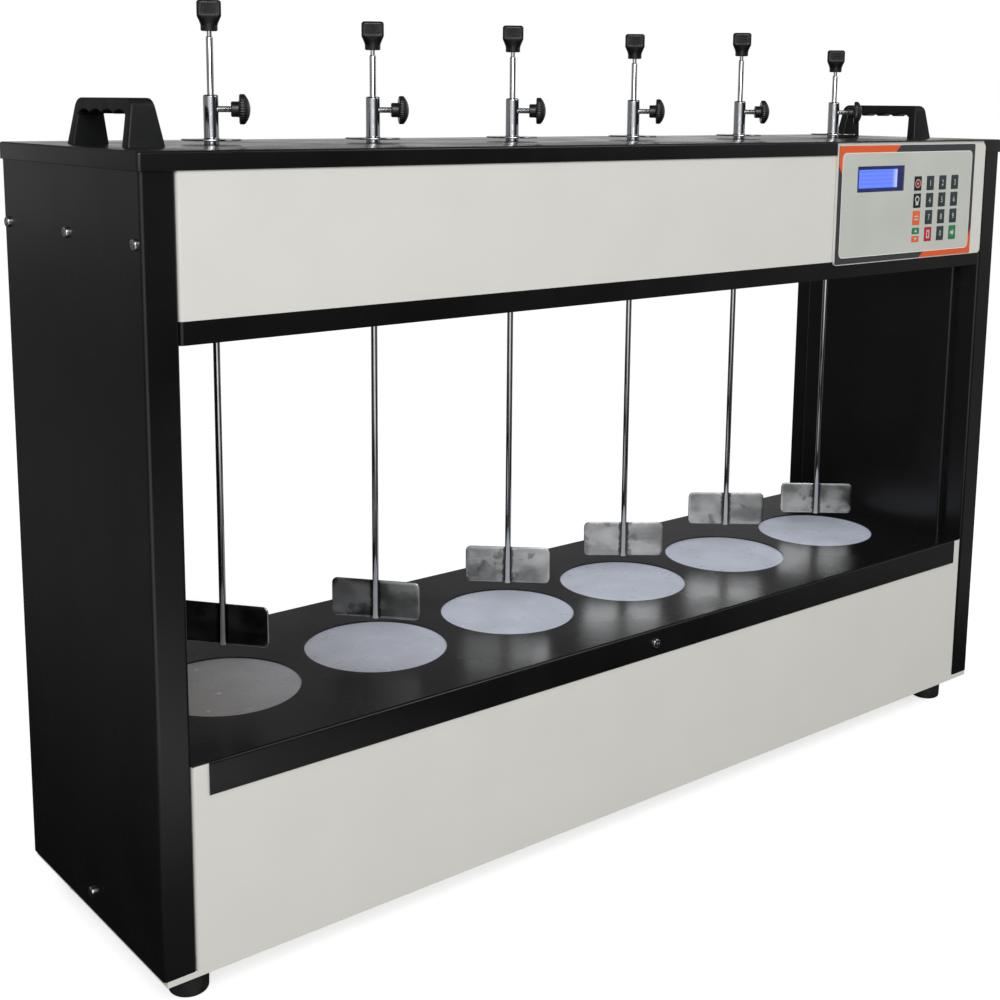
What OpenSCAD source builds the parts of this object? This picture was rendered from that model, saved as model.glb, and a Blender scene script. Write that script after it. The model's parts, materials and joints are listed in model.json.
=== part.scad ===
// Six-place jar tester: a bench cabinet whose drive head turns six stirrers over a lit jar shelf.
// The origin lies on the table under the middle of the cabinet.
// +X runs to the right along the cabinet, +Y to the back, +Z up. Lengths are in millimetres.

/* [Cabinet] */
// Length over the two side columns
cabinet_l = 1000; // [980:5:1200]
// Depth from the front face to the rear face
cabinet_d = 250; // [236:2:300]
// Thickness of the folded sheet steel
sheet = 1.2; // [0.8:0.1:2]
// Outer radius of the bends in the sheet
bend_r = 3; // [2.5:0.1:4]
// Height of the jar shelf above the table
shelf_z = 192.5; // [170:0.5:230]
// Height of the open bay between the jar shelf and the drive head
bay_h = 308.5; // [290:0.5:360]
// Height of the drive head, from its underside to the top of the lid
head_h = 134; // [126:1:170]
// Width of a side column's front face
column_face = 26.7; // [22:0.1:32]
// Depth of the inward lips on a side column
column_lip = 27; // [20:1:34]
// Distance from a column's outer side to the face of its inner panel
column_w = 35; // [34:0.5:44]
// Height of the white rim that shows under the columns
pan_rim_h = 5; // [3:0.5:10]
// Set-back of that rim from the columns' outer sides
pan_inset = 2.6; // [2.4:0.1:6]

/* [Feet] */
// Height of the rubber feet
foot_h = 26; // [18:1:40]
// Diameter of the rubber feet
foot_d = 32; // [28:1:40]
// Distance from a foot's centre to the end of the cabinet
foot_end = 34; // [24:1:60]
// Distance from a foot's centre to the front or rear face
foot_side = 30; // [22:1:50]

/* [Lid and trays] */
// Height of the rim folded down around the lid
lid_rim_h = 13.5; // [10:0.5:20]
// How far the lid stands out past the columns
lid_over = 1.6; // [1.4:0.1:2.4]
// Height of the black lip along the bottom of the drive head
tray_lip_h = 16.8; // [12:0.1:24]
// Height of the lip folded down from the jar shelf
shelf_lip_h = 26; // [18:0.5:34]
// Gap between the end of the shelf's lip and the column
shelf_lip_gap = 13.3; // [6:0.1:20]
// Width of the flanges folded in along the panels
flange_w = 12; // [8:1:16]

/* [Stations] */
// Distance from one stirrer to the next
pitch = 150; // [130:1:152]
// How far the row of stirrers is shifted to the right
row_x = -7; // [-10:0.5:10]
// How far the row of stirrers is shifted to the back
row_y = -3.5; // [-6:0.5:6]
// Diameter of the lit windows in the jar shelf
window_d = 126; // [80:1:128]
// Thickness of the frosted sheet under the windows
diffuser_t = 3; // [2:0.5:5]

/* [Stirrers] */
// Diameter of a stirrer's rod
rod_d = 5.5; // [4:0.1:6.5]
// Length of a rod from its lower end to the knob
rod_l = 493; // [440:1:520]
// Height of the rod's lower end above the jar shelf, for a stirrer at the middle height
rod_rise = 28; // [20:0.5:60]
// Width of a paddle
paddle_w = 80; // [50:1:90]
// Height of a paddle
paddle_h = 34.5; // [20:0.5:45]
// Thickness of a paddle
paddle_t = 1.5; // [1:0.1:3]
// Width of the square knob on top of a rod
knob_w = 18.5; // [14:0.5:24]
// Height of that knob
knob_h = 23; // [22:0.5:32]

/* [Spindles] */
// Diameter of the hollow spindles
spindle_d = 12; // [11:0.1:14]
// How far a spindle stands out above the lid
spindle_up = 38; // [30:1:50]
// Diameter of the drip disc on a spindle
disc_d = 47; // [30:1:60]
// Height of the drip disc's top above the lid
disc_up = 4.3; // [3:0.1:8]
// Height of the clamp screw above the lid
clamp_up = 27; // [20:1:32]
// Diameter of the clamp screw's thread
clamp_d = 5; // [3:0.1:6]
// Diameter of the clamp screw's domed head
clamp_head_d = 23.5; // [16:0.5:28]
// Distance from the spindle's axis to the outer face of that head
clamp_reach = 30.2; // [28:0.2:36]

/* [Drive] */
// Diameter of the spindle pulleys where the belt runs
pulley_d = 40; // [30:1:50]
// Diameter of the motor pulley where the belt runs
motor_pulley_d = 20; // [16:1:26]
// Width of the belts
belt_w = 10; // [6:0.5:11]
// Thickness of the belts
belt_t = 1.6; // [1:0.1:2.5]
// Side of the square motor
motor_w = 57; // [42:1:60]
// Height of the motor
motor_h = 38; // [30:1:40]

/* [Controls] */
// Width of the raised control housing
housing_w = 246; // [240:1:280]
// Height of the raised control housing
housing_h = 117.5; // [112:0.5:117.5]
// How far the control housing stands out from the panel
housing_out = 2.5; // [2:0.1:6]
// Width of the printed film on the housing
film_w = 225.2; // [214:0.2:236]
// Height of that film
film_h = 115.6; // [108:0.2:116]
// Width of the display
display_w = 74.4; // [60:0.2:80]
// Height of the display
display_h = 25.2; // [20:0.2:30]
// Width of a key
key_w = 12.4; // [9:0.2:16]
// Height of a key
key_h = 14.8; // [10:0.2:16]

/* [Handles] */
// Length of a handle along its base
handle_l = 108; // [100:1:130]
// Height of a handle
handle_h = 35; // [32:1:50]
// Width of a handle at its base
handle_w = 30; // [26:1:34]

/* [Hidden] */
$fn = 48;
stations = 6;
// Height of each stirrer above or below the middle height, and how its parts are turned
lifts = [7.5, -2.5, 0, -2, 4.5, -8.5];
paddle_turns = [-52, -50, -43, -37, -39, -40];
knob_turns = [-27, -33, -39, -44, -48, -51];
clamp_turns = [-27, -29, -39, -43.5, -40, -51];

black = "#1d1d1f";
white = "#d6d4ce";
chrome = "#c9cbd0";
steel = "#b4b6b8";
gap = 0.2;         // clearance between folded parts that lie side by side
run_gap = 0.3;     // clearance between pieces that move past each other
shaft_gap = 0.05;  // radial clearance of a shaft in its bore

half_l = cabinet_l / 2;
half_d = cabinet_d / 2;
column_z = foot_h + pan_rim_h;
head_z = shelf_z + bay_h;
lid_z = head_z + head_h;
lid_under = lid_z - sheet;
floor_z = head_z + sheet;                 // inner floor of the drive head
face_x = half_l - column_face;            // inner edge of a column's front face
panel_x = face_x - gap;                   // half length of the panels between the columns
wall_x = half_l - column_w;               // face of the inner panels
inside_x = half_l - sheet;                // inside of a column's outer wall
inside_d = half_d - sheet - 2 * gap;      // half depth of what stands inside a column
lip_y = half_d - column_lip;              // where the columns' lips end
pan_x = half_l - pan_inset;
lip_lap = 2;                              // how far the inner panels lap over those lips
inner_panel_y = lip_y + lip_lap;          // half depth of the inner panels
pan_end_h = 94;                           // height of the pan's end plates above the rim
end_plate_h = 99;                         // height of the head tray's end plates
upper_z = head_z + tray_lip_h;            // lower edge of the upper panels
shelf_under = shelf_z - sheet;

// Screws: M4 pan heads all over the cabinet
screw_d = 4;
screw_head_d = 8.6;
screw_head_h = 2.6;
screw_l = 8;
screw_hole_d = screw_d + 0.3;
side_screw_y = half_d - 9;
side_screw_rise = 71;
side_screw_z = head_z + side_screw_rise;
pan_screw_z = foot_h + 22;
lip_screw_x = -5;
lip_screw_z = shelf_z - shelf_lip_h / 2;
rear_screw_x = [-0.93 * panel_x, -panel_x / 3, panel_x / 3, 0.93 * panel_x];
upper_rear_screw_z = upper_z + 12;
lower_rear_screw_z = column_z + 12;
rear_tab_h = 22;                          // height of the tabs that the rear panels screw to
foot_bore_d = 13;
foot_web_h = 8;                           // rubber left above the foot's screw recess

// Stirrers
knob_clear = 12;                          // least height of a middle knob above its spindle
rod_z = max(shelf_z + rod_rise, lid_z + spindle_up + knob_clear - rod_l);
rod_bore_d = rod_d + 2 * shaft_gap;
rod_neck_d = rod_d - 1.6;
rod_neck_l = 4;
rod_past = 0.5;                           // how far the rod ends below the paddle
paddle_r = 5;
knob_neck_d = 0.7 * knob_w;
knob_neck_h = 4.7;
knob_taper_h = 6.6;
knob_edge = 1.6;
knob_grip_l = 10;                         // length of rod end held in the knob

// Spindles and bearings
spindle_foot = 2;                         // how far a spindle ends below the head
spindle_top = lid_z + spindle_up;
spindle_edge = 1.8;
disc_t = 1.5;
lid_hole_d = spindle_d + 2;
clamp_z = lid_z + clamp_up;
clamp_head_l = 8.7;
clamp_rim_l = 4;
clamp_hub_d = 12;
clamp_hub_l = 6.5;
clamp_flutes = 20;
flute_d = 1.8;
bearing_d = spindle_d + 2 * shaft_gap;
bearing_side = 40;
bearing_h = 12;
bearing_boss_d = 34;
plate_t = 3;
plate_rise = 90;
plate_z = floor_z + plate_rise;           // underside of the upper bearing plate
plate_w = 96;
plate_end = 45;                           // how far that plate runs past the last stations
post_d = 10;
post_y = plate_w / 2 - post_d / 2 - 2;

// Pulleys and belts
pulley_rim = 1.5;
track_h = belt_w + 1;
pulley_rim_d = pulley_d + 6;
pulley_hub_d = 20;
pulley_z = floor_z + 30;
pulley_hub_z = floor_z + bearing_h + run_gap;
track_z = [pulley_z + pulley_rim, pulley_z + 2 * pulley_rim + track_h];
pulley_h = 3 * pulley_rim + 2 * track_h;
belt_steps = 24;                          // straight steps in the belt's half turn on a pulley
motor_x = row_x - 2 * pitch;              // halfway between the first two stations
motor_y = row_y + plate_w / 2 + motor_w / 2;
motor_boss_d = 38;
motor_boss_h = 2;
motor_shaft_d = 6.3;
motor_cap = 5;
rotor_d = motor_w - 25;
rotor_h = motor_h - 2 * motor_cap - 2 * run_gap;
rotor_z = floor_z + motor_cap + run_gap;
motor_pulley_z = track_z[1] - pulley_rim;
motor_hub_h = 7;
motor_core_d = motor_pulley_d - 4;

// Controls
housing_right = face_x - 2.8;
housing_x = housing_right - housing_w / 2;
housing_top = lid_under - 2.3;
housing_z = housing_top - housing_h / 2;
housing_r = 5;
housing_front = half_d + housing_out;
film_t = 0.5;
film_left = housing_right - housing_w + 1;
film_x = film_left + film_w / 2;
film_z = housing_z + 0.2;
film_top = film_z + film_h / 2;
film_front = housing_front + film_t;
display_in = 66.6;                        // film's left edge to the display's middle
display_drop = 33.1;                      // film's top edge to the display's middle
display_x = film_left + display_in;
display_z = film_top - display_drop;
display_depth = 9;
display_frame = [2.3, 9.8, 2.5, 3];       // frame left, right, above and below the lit glass
display_glass_in = 0.6;
board_w = 190;
board_h = 76;
board_y = housing_front - display_depth;
key_t = 0.35;
key_in = 127.5;                           // film's left edge to the first column of keys
key_drop = 39.3;                          // film's top edge to the top row of keys
key_x = film_left + key_in;
key_z = film_top - key_drop;
key_step_x = 21.2;
key_step_z = 17.6;
small_key_h = 0.44 * key_h;

// Mains inlet and switch on the rear of the head
inlet_x = wall_x - 62;
inlet_z = head_z + 66;
inlet_out = film_front + key_t - half_d;
inlet_w = 50;
inlet_h = 62;
inlet_depth = 26;
socket_w = 24;
socket_h = 16.5;
socket_depth = 18;
socket_z = inlet_z - 14;
pin_l = 12;
rocker_w = 20;
rocker_r = 9;
rocker_z = inlet_z + 17;
rocker_y = half_d - 3.2;
rocker_tilt = 9;
rocker_pin_d = 2.5;
supply_size = [112, 50, 36];
supply_x = inlet_x - 60;
supply_y = half_d - supply_size[1] / 2 - 26;

handle_x = half_l - 40;
handle_top_l = handle_l - 8;
handle_top_w = handle_w - 13;
handle_leg = 10.5;
handle_corner = 7.5;
handle_screw_y = (handle_l - handle_leg) / 2;
fingers = 4;
finger_pitch = (handle_l - 2 * handle_leg - 4) / fingers;
finger_depth = 2.7;
ridge_h = handle_h - 11.7;                // height of the ridges between the finger grooves

function station_x(i) = row_x + pitch * (i - (stations - 1) / 2);
function arc(x, y, r, from, to, steps = 6) =
    [for (k = [0 : steps]) let (a = from + (to - from) * k / steps) [x + r * cos(a), y + r * sin(a)]];

// Moves its children to a station's axis on the table
module at_station(i) translate([station_x(i), row_y, 0]) children();

// Box centred in X and Y, standing on z
module block(size, pos = [0, 0, 0])
    translate([pos[0] - size[0] / 2, pos[1] - size[1] / 2, pos[2]]) cube(size);

// Rectangle with round corners, centred
module round_rect(w, d, r) {
    square([w - 2 * r, d], center = true);
    square([w, d - 2 * r], center = true);
    for (x = [-1, 1], y = [-1, 1])
        translate([x * (w / 2 - r), y * (d / 2 - r)]) circle(r);
}

// Rectangle from y = 0 back to y = d whose two front corners are round
module round_front(w, d, r) {
    translate([-w / 2, r]) square([w, d - r]);
    translate([r - w / 2, 0]) square([w - 2 * r, r]);
    for (x = [-1, 1]) translate([x * (w / 2 - r), r]) circle(r);
}

// Sheet bent to a channel in plan: the face at y = 0 and a return d deep at each end
module channel_plan(w, d) {
    difference() {
        round_front(w, d, bend_r);
        translate([0, sheet]) round_front(w - 2 * sheet, d, bend_r - sheet);
    }
}

// Stands a plan that lies in X and Y up against the front, at depth y and reaching back by t
module upright(y, t) translate([0, y + t, 0]) rotate([90, 0, 0]) linear_extrude(t) children();

// Drills through the sheet for a screw that looks along an axis turned from +Z
module screw_hole(pos, turn, d = screw_hole_d)
    translate(pos) rotate(turn) cylinder(h = 4 * sheet + 2, d = d, center = true);

// M4 pan-head screw with a cross recess; its head sits on z = 0 and looks along +Z
module pan_screw() {
    recess = [screw_head_d * 0.55, 0.9, 1.4];
    difference() {
        union() {
            rotate_extrude() polygon(concat([[0, 0], [screw_head_d / 2, 0]],
                arc(screw_head_d / 2 - 1.6, screw_head_h - 1.6, 1.6, 15, 90),
                [[0, screw_head_h]]));
            translate([0, 0, -screw_l]) cylinder(h = screw_l, d = screw_d);
        }
        for (turn = [0, 90])
            translate([0, 0, screw_head_h - recess[2]]) rotate(turn) block(recess);
    }
}

// Upstand just inside a rear panel, from one height to another
module rear_tab(from, to)
    block([2 * (panel_x - flange_w), sheet, to - from], [0, half_d - 1.5 * sheet, from]);

module base_pan() {
    wall_h = shelf_under - foot_h;
    color(white) difference() {
        union() {
            difference() {
                block([2 * pan_x, cabinet_d, pan_rim_h + sheet], [0, 0, foot_h]);
                block([2 * (pan_x - sheet), cabinet_d - 2 * sheet, pan_rim_h + sheet],
                    [0, 0, foot_h + sheet]);
                block([cabinet_l, 2 * column_lip, 2 * sheet], [0, -half_d, column_z]);
                block([cabinet_l, 2 * column_lip, 2 * sheet], [0, half_d, column_z]);
            }
            translate([0, -half_d, foot_h]) linear_extrude(wall_h)
                channel_plan(2 * panel_x, flange_w);
            block([2 * (panel_x - bend_r), flange_w, sheet],
                [0, flange_w / 2 - half_d, shelf_under - sheet]);
            rear_tab(foot_h, column_z + rear_tab_h);
            for (side = [-1, 1]) {
                block([pan_inset, 2 * lip_y, sheet],
                    [side * (pan_x - sheet + pan_inset / 2), 0, column_z]);
                block([sheet, 2 * lip_y, pan_end_h],
                    [side * (inside_x - sheet / 2), 0, column_z]);
            }
        }
        for (side = [-1, 1]) {
            screw_hole([side * inside_x, 0, pan_screw_z], [0, 90, 0]);
            for (y = [-1, 1])
                screw_hole([side * (half_l - foot_end), y * (half_d - foot_side), foot_h], [0, 0, 0]);
        }
        screw_hole([lip_screw_x, -half_d, lip_screw_z], [90, 0, 0]);
        for (x = rear_screw_x) screw_hole([x, half_d, lower_rear_screw_z], [90, 0, 0]);
    }
}

module rubber_feet() {
    edge = 2.5;
    color("#141414") for (x = [-1, 1], y = [-1, 1])
        translate([x * (half_l - foot_end), y * (half_d - foot_side), 0]) difference() {
            rotate_extrude() polygon(concat([[0, 0]],
                arc(foot_d / 2 - edge - 0.6, edge, edge, -90, 0),
                [[foot_d / 2, foot_h], [0, foot_h]]));
            translate([0, 0, -1]) cylinder(h = foot_h - foot_web_h + 1, d = foot_bore_d);
            cylinder(h = 2 * foot_h, d = screw_hole_d);
        }
}

// Side column: one sheet folded to a C, open towards the middle of the cabinet
module column(side) {
    color(black) difference() {
        translate([side * (half_l - column_face / 2), 0, column_z])
            linear_extrude(lid_under - column_z) difference() {
                round_rect(column_face, cabinet_d, bend_r);
                round_rect(column_face - 2 * sheet, cabinet_d - 2 * sheet, bend_r - sheet);
                translate([-side * column_face / 2, 0])
                    square([2 * sheet + bend_r, 2 * lip_y], center = true);
            }
        for (y = [-side_screw_y, 0, side_screw_y])
            screw_hole([side * inside_x, y, side_screw_z], [0, 90, 0]);
        screw_hole([side * inside_x, 0, pan_screw_z], [0, 90, 0]);
    }
}

// Cover over a column's open side, a shallow folded tray that stands in a notch of the shelf
module inner_panel(side) {
    color(black) translate([side * wall_x, 0, shelf_under])
        linear_extrude(head_z - shelf_under) rotate(-90 * side)
            channel_plan(2 * inner_panel_y, face_x - wall_x);
}

module lower_rear_panel() {
    vents = 9;
    vent_step = 14;
    color(white) difference() {
        union() {
            translate([0, half_d, column_z]) mirror([0, 1, 0])
                linear_extrude(shelf_under - column_z) channel_plan(2 * panel_x, flange_w);
            block([2 * (panel_x - bend_r), flange_w, sheet],
                [0, half_d - flange_w / 2, shelf_under - sheet]);
        }
        for (x = rear_screw_x) screw_hole([x, half_d, lower_rear_screw_z], [90, 0, 0]);
        screw_hole([lip_screw_x, half_d, lip_screw_z], [90, 0, 0]);
        for (side = [-1, 1], k = [0 : vents - 1])
            block([5, 4 * sheet, 40],
                [side * panel_x / 2 + (k - (vents - 1) / 2) * vent_step, half_d, column_z + 45]);
    }
}

module jar_shelf() {
    lip_x = face_x - shelf_lip_gap;
    color(black) difference() {
        union() {
            block([2 * panel_x, cabinet_d, sheet], [0, 0, shelf_under]);
            for (y = [-1, 1])
                block([2 * lip_x, sheet, shelf_lip_h],
                    [0, y * (half_d + sheet / 2), shelf_z - shelf_lip_h]);
        }
        for (i = [0 : stations - 1]) at_station(i)
            translate([0, 0, shelf_under - 1]) cylinder(h = sheet + 2, d = window_d);
        for (side = [-1, 1])
            block([2 * (panel_x - wall_x + gap), 2 * (inner_panel_y + gap), 3 * sheet],
                [side * panel_x, 0, shelf_under - sheet]);
        for (y = [-1, 1]) screw_hole([lip_screw_x, y * half_d, lip_screw_z], [90, 0, 0]);
    }
}

module window_diffuser() {
    sheet_w = min(2 * (half_d - flange_w - 2), window_d + 60);
    color("#c4c4cf") block([2 * (panel_x - 12), sheet_w, diffuser_t],
        [0, 0, shelf_under - diffuser_t]);
}

module lamp_strips() {
    lamps = 24;
    strip_y = 36;
    strip_l = 2 * (panel_x - 30);
    color("#e8e6da") for (y = [-1, 1]) translate([0, y * strip_y, foot_h + sheet]) {
        block([strip_l, 12, 1.6]);
        for (k = [0 : lamps - 1])
            block([5, 5, 2.4], [(k - (lamps - 1) / 2) * strip_l / lamps, 0, 0]);
    }
}

module head_tray() {
    color(black) difference() {
        union() {
            block([2 * panel_x, cabinet_d - 2 * bend_r, sheet], [0, 0, head_z]);
            block([2 * inside_x, 2 * (lip_y - gap), sheet], [0, 0, head_z]);
            translate([0, -half_d, head_z]) linear_extrude(tray_lip_h)
                channel_plan(2 * panel_x, flange_w);
            translate([0, half_d, head_z]) mirror([0, 1, 0]) linear_extrude(tray_lip_h)
                channel_plan(2 * panel_x, flange_w);
            for (y = [-1, 1])
                block([2 * (panel_x - bend_r), 2 * bend_r, sheet], [0, y * (half_d - bend_r), head_z]);
            for (side = [-1, 1])
                block([sheet, 2 * (inside_d - bend_r), end_plate_h],
                    [side * (inside_x - sheet / 2), 0, head_z]);
            rear_tab(head_z, upper_z + rear_tab_h);
        }
        for (x = rear_screw_x) screw_hole([x, half_d, upper_rear_screw_z], [90, 0, 0]);
        for (i = [0 : stations - 1]) at_station(i)
            translate([0, 0, head_z - 1]) cylinder(h = sheet + 2, d = lid_hole_d);
        for (side = [-1, 1], y = [-side_screw_y, 0, side_screw_y])
            screw_hole([side * inside_x, y, side_screw_z], [0, 90, 0]);
    }
}

// Folded panel between the columns that closes the drive head at the front
module upper_panel() {
    translate([0, -half_d, upper_z]) linear_extrude(lid_under - upper_z)
        channel_plan(2 * panel_x, flange_w);
    block([2 * (panel_x - bend_r), flange_w - sheet, sheet],
        [0, sheet + (flange_w - sheet) / 2 - half_d, lid_under - sheet]);
}

module upper_front_panel() {
    color(white) difference() {
        upper_panel();
        block([board_w + 6, 4 * sheet, board_h + 6],
            [film_x, -half_d, housing_z - board_h / 2 - 3]);
    }
}

module upper_rear_panel() {
    vents = 11;
    vent_step = 12;
    color(white) difference() {
        mirror([0, 1, 0]) upper_panel();
        block([inlet_w - 12, 4 * sheet, inlet_h - 8], [inlet_x, half_d, inlet_z - inlet_h / 2 + 4]);
        for (x = rear_screw_x) screw_hole([x, half_d, upper_rear_screw_z], [90, 0, 0]);
        for (k = [0 : vents - 1])
            block([5, 4 * sheet, 50], [motor_x + (k - (vents - 1) / 2) * vent_step, half_d, upper_z + 30]);
    }
}

module top_lid() {
    outer_l = cabinet_l + 2 * lid_over;
    outer_d = cabinet_d + 2 * lid_over;
    color(black) difference() {
        translate([0, 0, lid_z - lid_rim_h]) linear_extrude(lid_rim_h)
            round_rect(outer_l, outer_d, bend_r);
        translate([0, 0, lid_z - lid_rim_h - 1]) linear_extrude(lid_rim_h + 1 - sheet)
            round_rect(outer_l - 2 * sheet, outer_d - 2 * sheet, bend_r - sheet);
        block([housing_w + 2 * run_gap, 4 * lid_over, lid_rim_h],
            [housing_x, -half_d - lid_over, lid_under - lid_rim_h]);
        for (i = [0 : stations - 1]) at_station(i)
            translate([0, 0, lid_under - 1]) cylinder(h = sheet + 2, d = lid_hole_d);
        for (side = [-1, 1], y = [-1, 1])
            screw_hole([side * handle_x, y * handle_screw_y, lid_z], [0, 0, 0]);
    }
}

// Moulded carrying handle: a grip on two legs that spread towards the lid
module handle(side) {
    lean = atan((handle_l - handle_top_l) / 2 / handle_h);
    finger_r = (pow(finger_pitch / 2, 2) + pow(finger_depth, 2)) / (2 * finger_depth);
    finger_turn = asin(finger_pitch / 2 / finger_r);
    color("#17181a") translate([side * handle_x, 0, lid_z]) difference() {
        intersection() {
            rotate([90, 0, 90]) linear_extrude(handle_w, center = true) difference() {
                polygon(concat(
                    [[-handle_l / 2, 0]],
                    arc(handle_corner - handle_top_l / 2, handle_h - handle_corner, handle_corner,
                        180 - lean, 90),
                    arc(handle_top_l / 2 - handle_corner, handle_h - handle_corner, handle_corner,
                        90, lean),
                    [[handle_l / 2, 0]]));
                polygon(concat(
                    [[handle_leg - handle_l / 2, -1]],
                    [for (k = [0 : fingers - 1]) each
                        arc((k - (fingers - 1) / 2) * finger_pitch,
                            ridge_h + finger_depth - finger_r, finger_r,
                            90 + finger_turn, 90 - finger_turn)],
                    [[handle_l / 2 - handle_leg, -1]]));
            }
            rotate([90, 0, 0]) linear_extrude(2 * handle_l, center = true) polygon([
                [-handle_w / 2, 0], [-handle_top_w / 2, handle_h],
                [handle_top_w / 2, handle_h], [handle_w / 2, 0]]);
        }
        for (y = [-1, 1]) translate([0, y * handle_screw_y, -1]) cylinder(h = 11, d = screw_d);
    }
}

module cabinet_screws() {
    color(chrome) {
        for (side = [-1, 1]) {
            for (y = [-side_screw_y, 0, side_screw_y])
                translate([side * half_l, y, side_screw_z]) rotate([0, side * 90, 0]) pan_screw();
            translate([side * half_l, 0, pan_screw_z]) rotate([0, side * 90, 0]) pan_screw();
            for (y = [-1, 1]) {
                translate([side * (half_l - foot_end), y * (half_d - foot_side), foot_h - foot_web_h])
                    rotate([180, 0, 0]) foot_screw();
                translate([side * handle_x, y * handle_screw_y, lid_under])
                    rotate([180, 0, 0]) pan_screw();
            }
        }
        for (y = [-1, 1])
            translate([lip_screw_x, y * (half_d + sheet), lip_screw_z])
                rotate([-90 * y, 0, 0]) pan_screw();
        for (x = rear_screw_x) {
            translate([x, half_d, upper_rear_screw_z]) rotate([-90, 0, 0]) pan_screw();
            translate([x, half_d, lower_rear_screw_z]) rotate([-90, 0, 0]) pan_screw();
        }
    }
}

// Longer screw that holds a foot, its head up inside the rubber
module foot_screw() {
    cylinder(h = screw_head_h, d = screw_head_d);
    translate([0, 0, -foot_web_h - 4]) cylinder(h = foot_web_h + 4, d = screw_d);
}

// Raised white housing that carries the printed film, notched into the lid's rim
module control_housing() {
    color(white) difference() {
        upright(-housing_front, housing_out) translate([housing_x, housing_z])
            round_rect(housing_w, housing_h, housing_r);
        upright(-housing_front + sheet, housing_out) translate([housing_x, housing_z])
            round_rect(housing_w - 2 * sheet, housing_h - 2 * sheet, housing_r - sheet);
        block([display_w + 2 * gap, 6 * housing_out, display_h + 2 * gap],
            [display_x, -housing_front, display_z - display_h / 2 - gap]);
    }
}

module fascia_film() {
    color("#bfc2ba") difference() {
        block([film_w, film_t, film_h], [film_x, film_t / 2 - film_front, film_z - film_h / 2]);
        block([display_w + 2 * gap, 6 * film_t, display_h + 2 * gap],
            [display_x, -film_front, display_z - display_h / 2 - gap]);
    }
}

// Liquid-crystal display: a dark frame, the lit glass sunk in it, and the body behind
module display() {
    glass_w = display_w - display_frame[0] - display_frame[1];
    glass_h = display_h - display_frame[2] - display_frame[3];
    glass_x = display_x + (display_frame[0] - display_frame[1]) / 2;
    glass_z = display_z + (display_frame[3] - display_frame[2]) / 2;
    color("#26327f") difference() {
        block([display_w, display_depth, display_h],
            [display_x, display_depth / 2 - housing_front, display_z - display_h / 2]);
        block([glass_w, 2 * display_glass_in, glass_h],
            [glass_x, -housing_front, glass_z - glass_h / 2]);
    }
}

// One key's place: column and row counted from the top left
module key_at(column, row, h, drop = 0)
    block([key_w, key_t, h], [key_x + column * key_step_x, -film_front - key_t / 2,
        key_z - row * key_step_z - drop - h / 2]);

module keypad() {
    color("#3a4444") {
        for (column = [0 : 3], row = [0 : 2]) key_at(column, row, key_h);
        for (column = [1 : 3]) key_at(column, 3, key_h);
        for (end = [-1, 1]) key_at(0, 3, small_key_h, end * 0.28 * key_h);
    }
}

module control_board() {
    color("#1f5a3a") {
        block([board_w, 1.6, board_h], [film_x, 0.8 - board_y, housing_z - board_h / 2]);
        for (x = [-1, 1], z = [-1, 1])
            translate([film_x + x * (board_w / 2 - 5), -board_y, housing_z + z * (board_h / 2 - 5)])
                rotate([90, 0, 0]) cylinder(h = housing_front - sheet - board_y, d = 6);
        block([22, 4, 22], [film_x + 40, 3.6 - board_y, housing_z]);
        block([30, 9, 12], [film_x - 40, 6 - board_y, housing_z - 20]);
    }
}

module power_supply() {
    color("#9c9fa3") difference() {
        block(supply_size, [supply_x, supply_y, floor_z]);
        for (k = [-3 : 3])
            block([3, supply_size[1] / 2, 20],
                [supply_x + k * 12, supply_y + supply_size[1] / 2, floor_z + 10]);
    }
}

module drive_motor() {
    corner = 4;
    color("#2a2b2e") translate([motor_x, motor_y, floor_z]) difference() {
        union() {
            linear_extrude(motor_h) round_rect(motor_w, motor_w, corner);
            cylinder(h = motor_h + motor_boss_h, d = motor_boss_d);
        }
        translate([0, 0, motor_cap]) cylinder(h = rotor_h + 2 * run_gap, d = rotor_d + 2 * run_gap);
        translate([0, 0, motor_h / 2]) cylinder(h = motor_h, d = motor_shaft_d + 2 * shaft_gap);
    }
}

// Rotor of the motor, on one shaft with the toothed-belt pulley
module motor_pulley() {
    shaft_end = motor_pulley_z + 2 * pulley_rim + track_h + motor_hub_h;
    color("#b9bcc0") translate([motor_x, motor_y, 0]) {
        translate([0, 0, rotor_z]) cylinder(h = rotor_h, d = rotor_d);
        translate([0, 0, rotor_z]) cylinder(h = shaft_end - rotor_z, d = motor_shaft_d);
        translate([0, 0, motor_pulley_z]) {
            cylinder(h = 2 * pulley_rim + track_h + motor_hub_h, d = motor_core_d);
            cylinder(h = pulley_rim, d = motor_pulley_d + 6);
            cylinder(h = 2 * pulley_rim + track_h, d = motor_pulley_d);
            translate([0, 0, pulley_rim + track_h]) cylinder(h = pulley_rim, d = motor_pulley_d + 6);
        }
    }
}

// Outline of a belt round two pulleys: an arc on each and the straight runs between them
module belt_outline(a, b, ra, rb) {
    run = b - a;
    heading = atan2(run[1], run[0]);
    lean = acos((ra - rb) / norm(run));
    polygon(concat(
        arc(a[0], a[1], ra, heading + lean, heading + 360 - lean, belt_steps),
        arc(b[0], b[1], rb, heading - lean, heading + lean, belt_steps)));
}

module belt(a, b, ra, rb, z)
    translate([0, 0, z + (track_h - belt_w) / 2]) linear_extrude(belt_w) difference() {
        belt_outline(a, b, ra + run_gap + belt_t, rb + run_gap + belt_t);
        belt_outline(a, b, ra + run_gap, rb + run_gap);
    }

module drive_belts() {
    color("#121212") {
        for (i = [0 : stations - 2])
            belt([station_x(i), row_y], [station_x(i + 1), row_y], pulley_d / 2, pulley_d / 2,
                track_z[i % 2]);
        belt([motor_x, motor_y], [station_x(0), row_y], motor_pulley_d / 2, pulley_d / 2, track_z[1]);
    }
}

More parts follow.
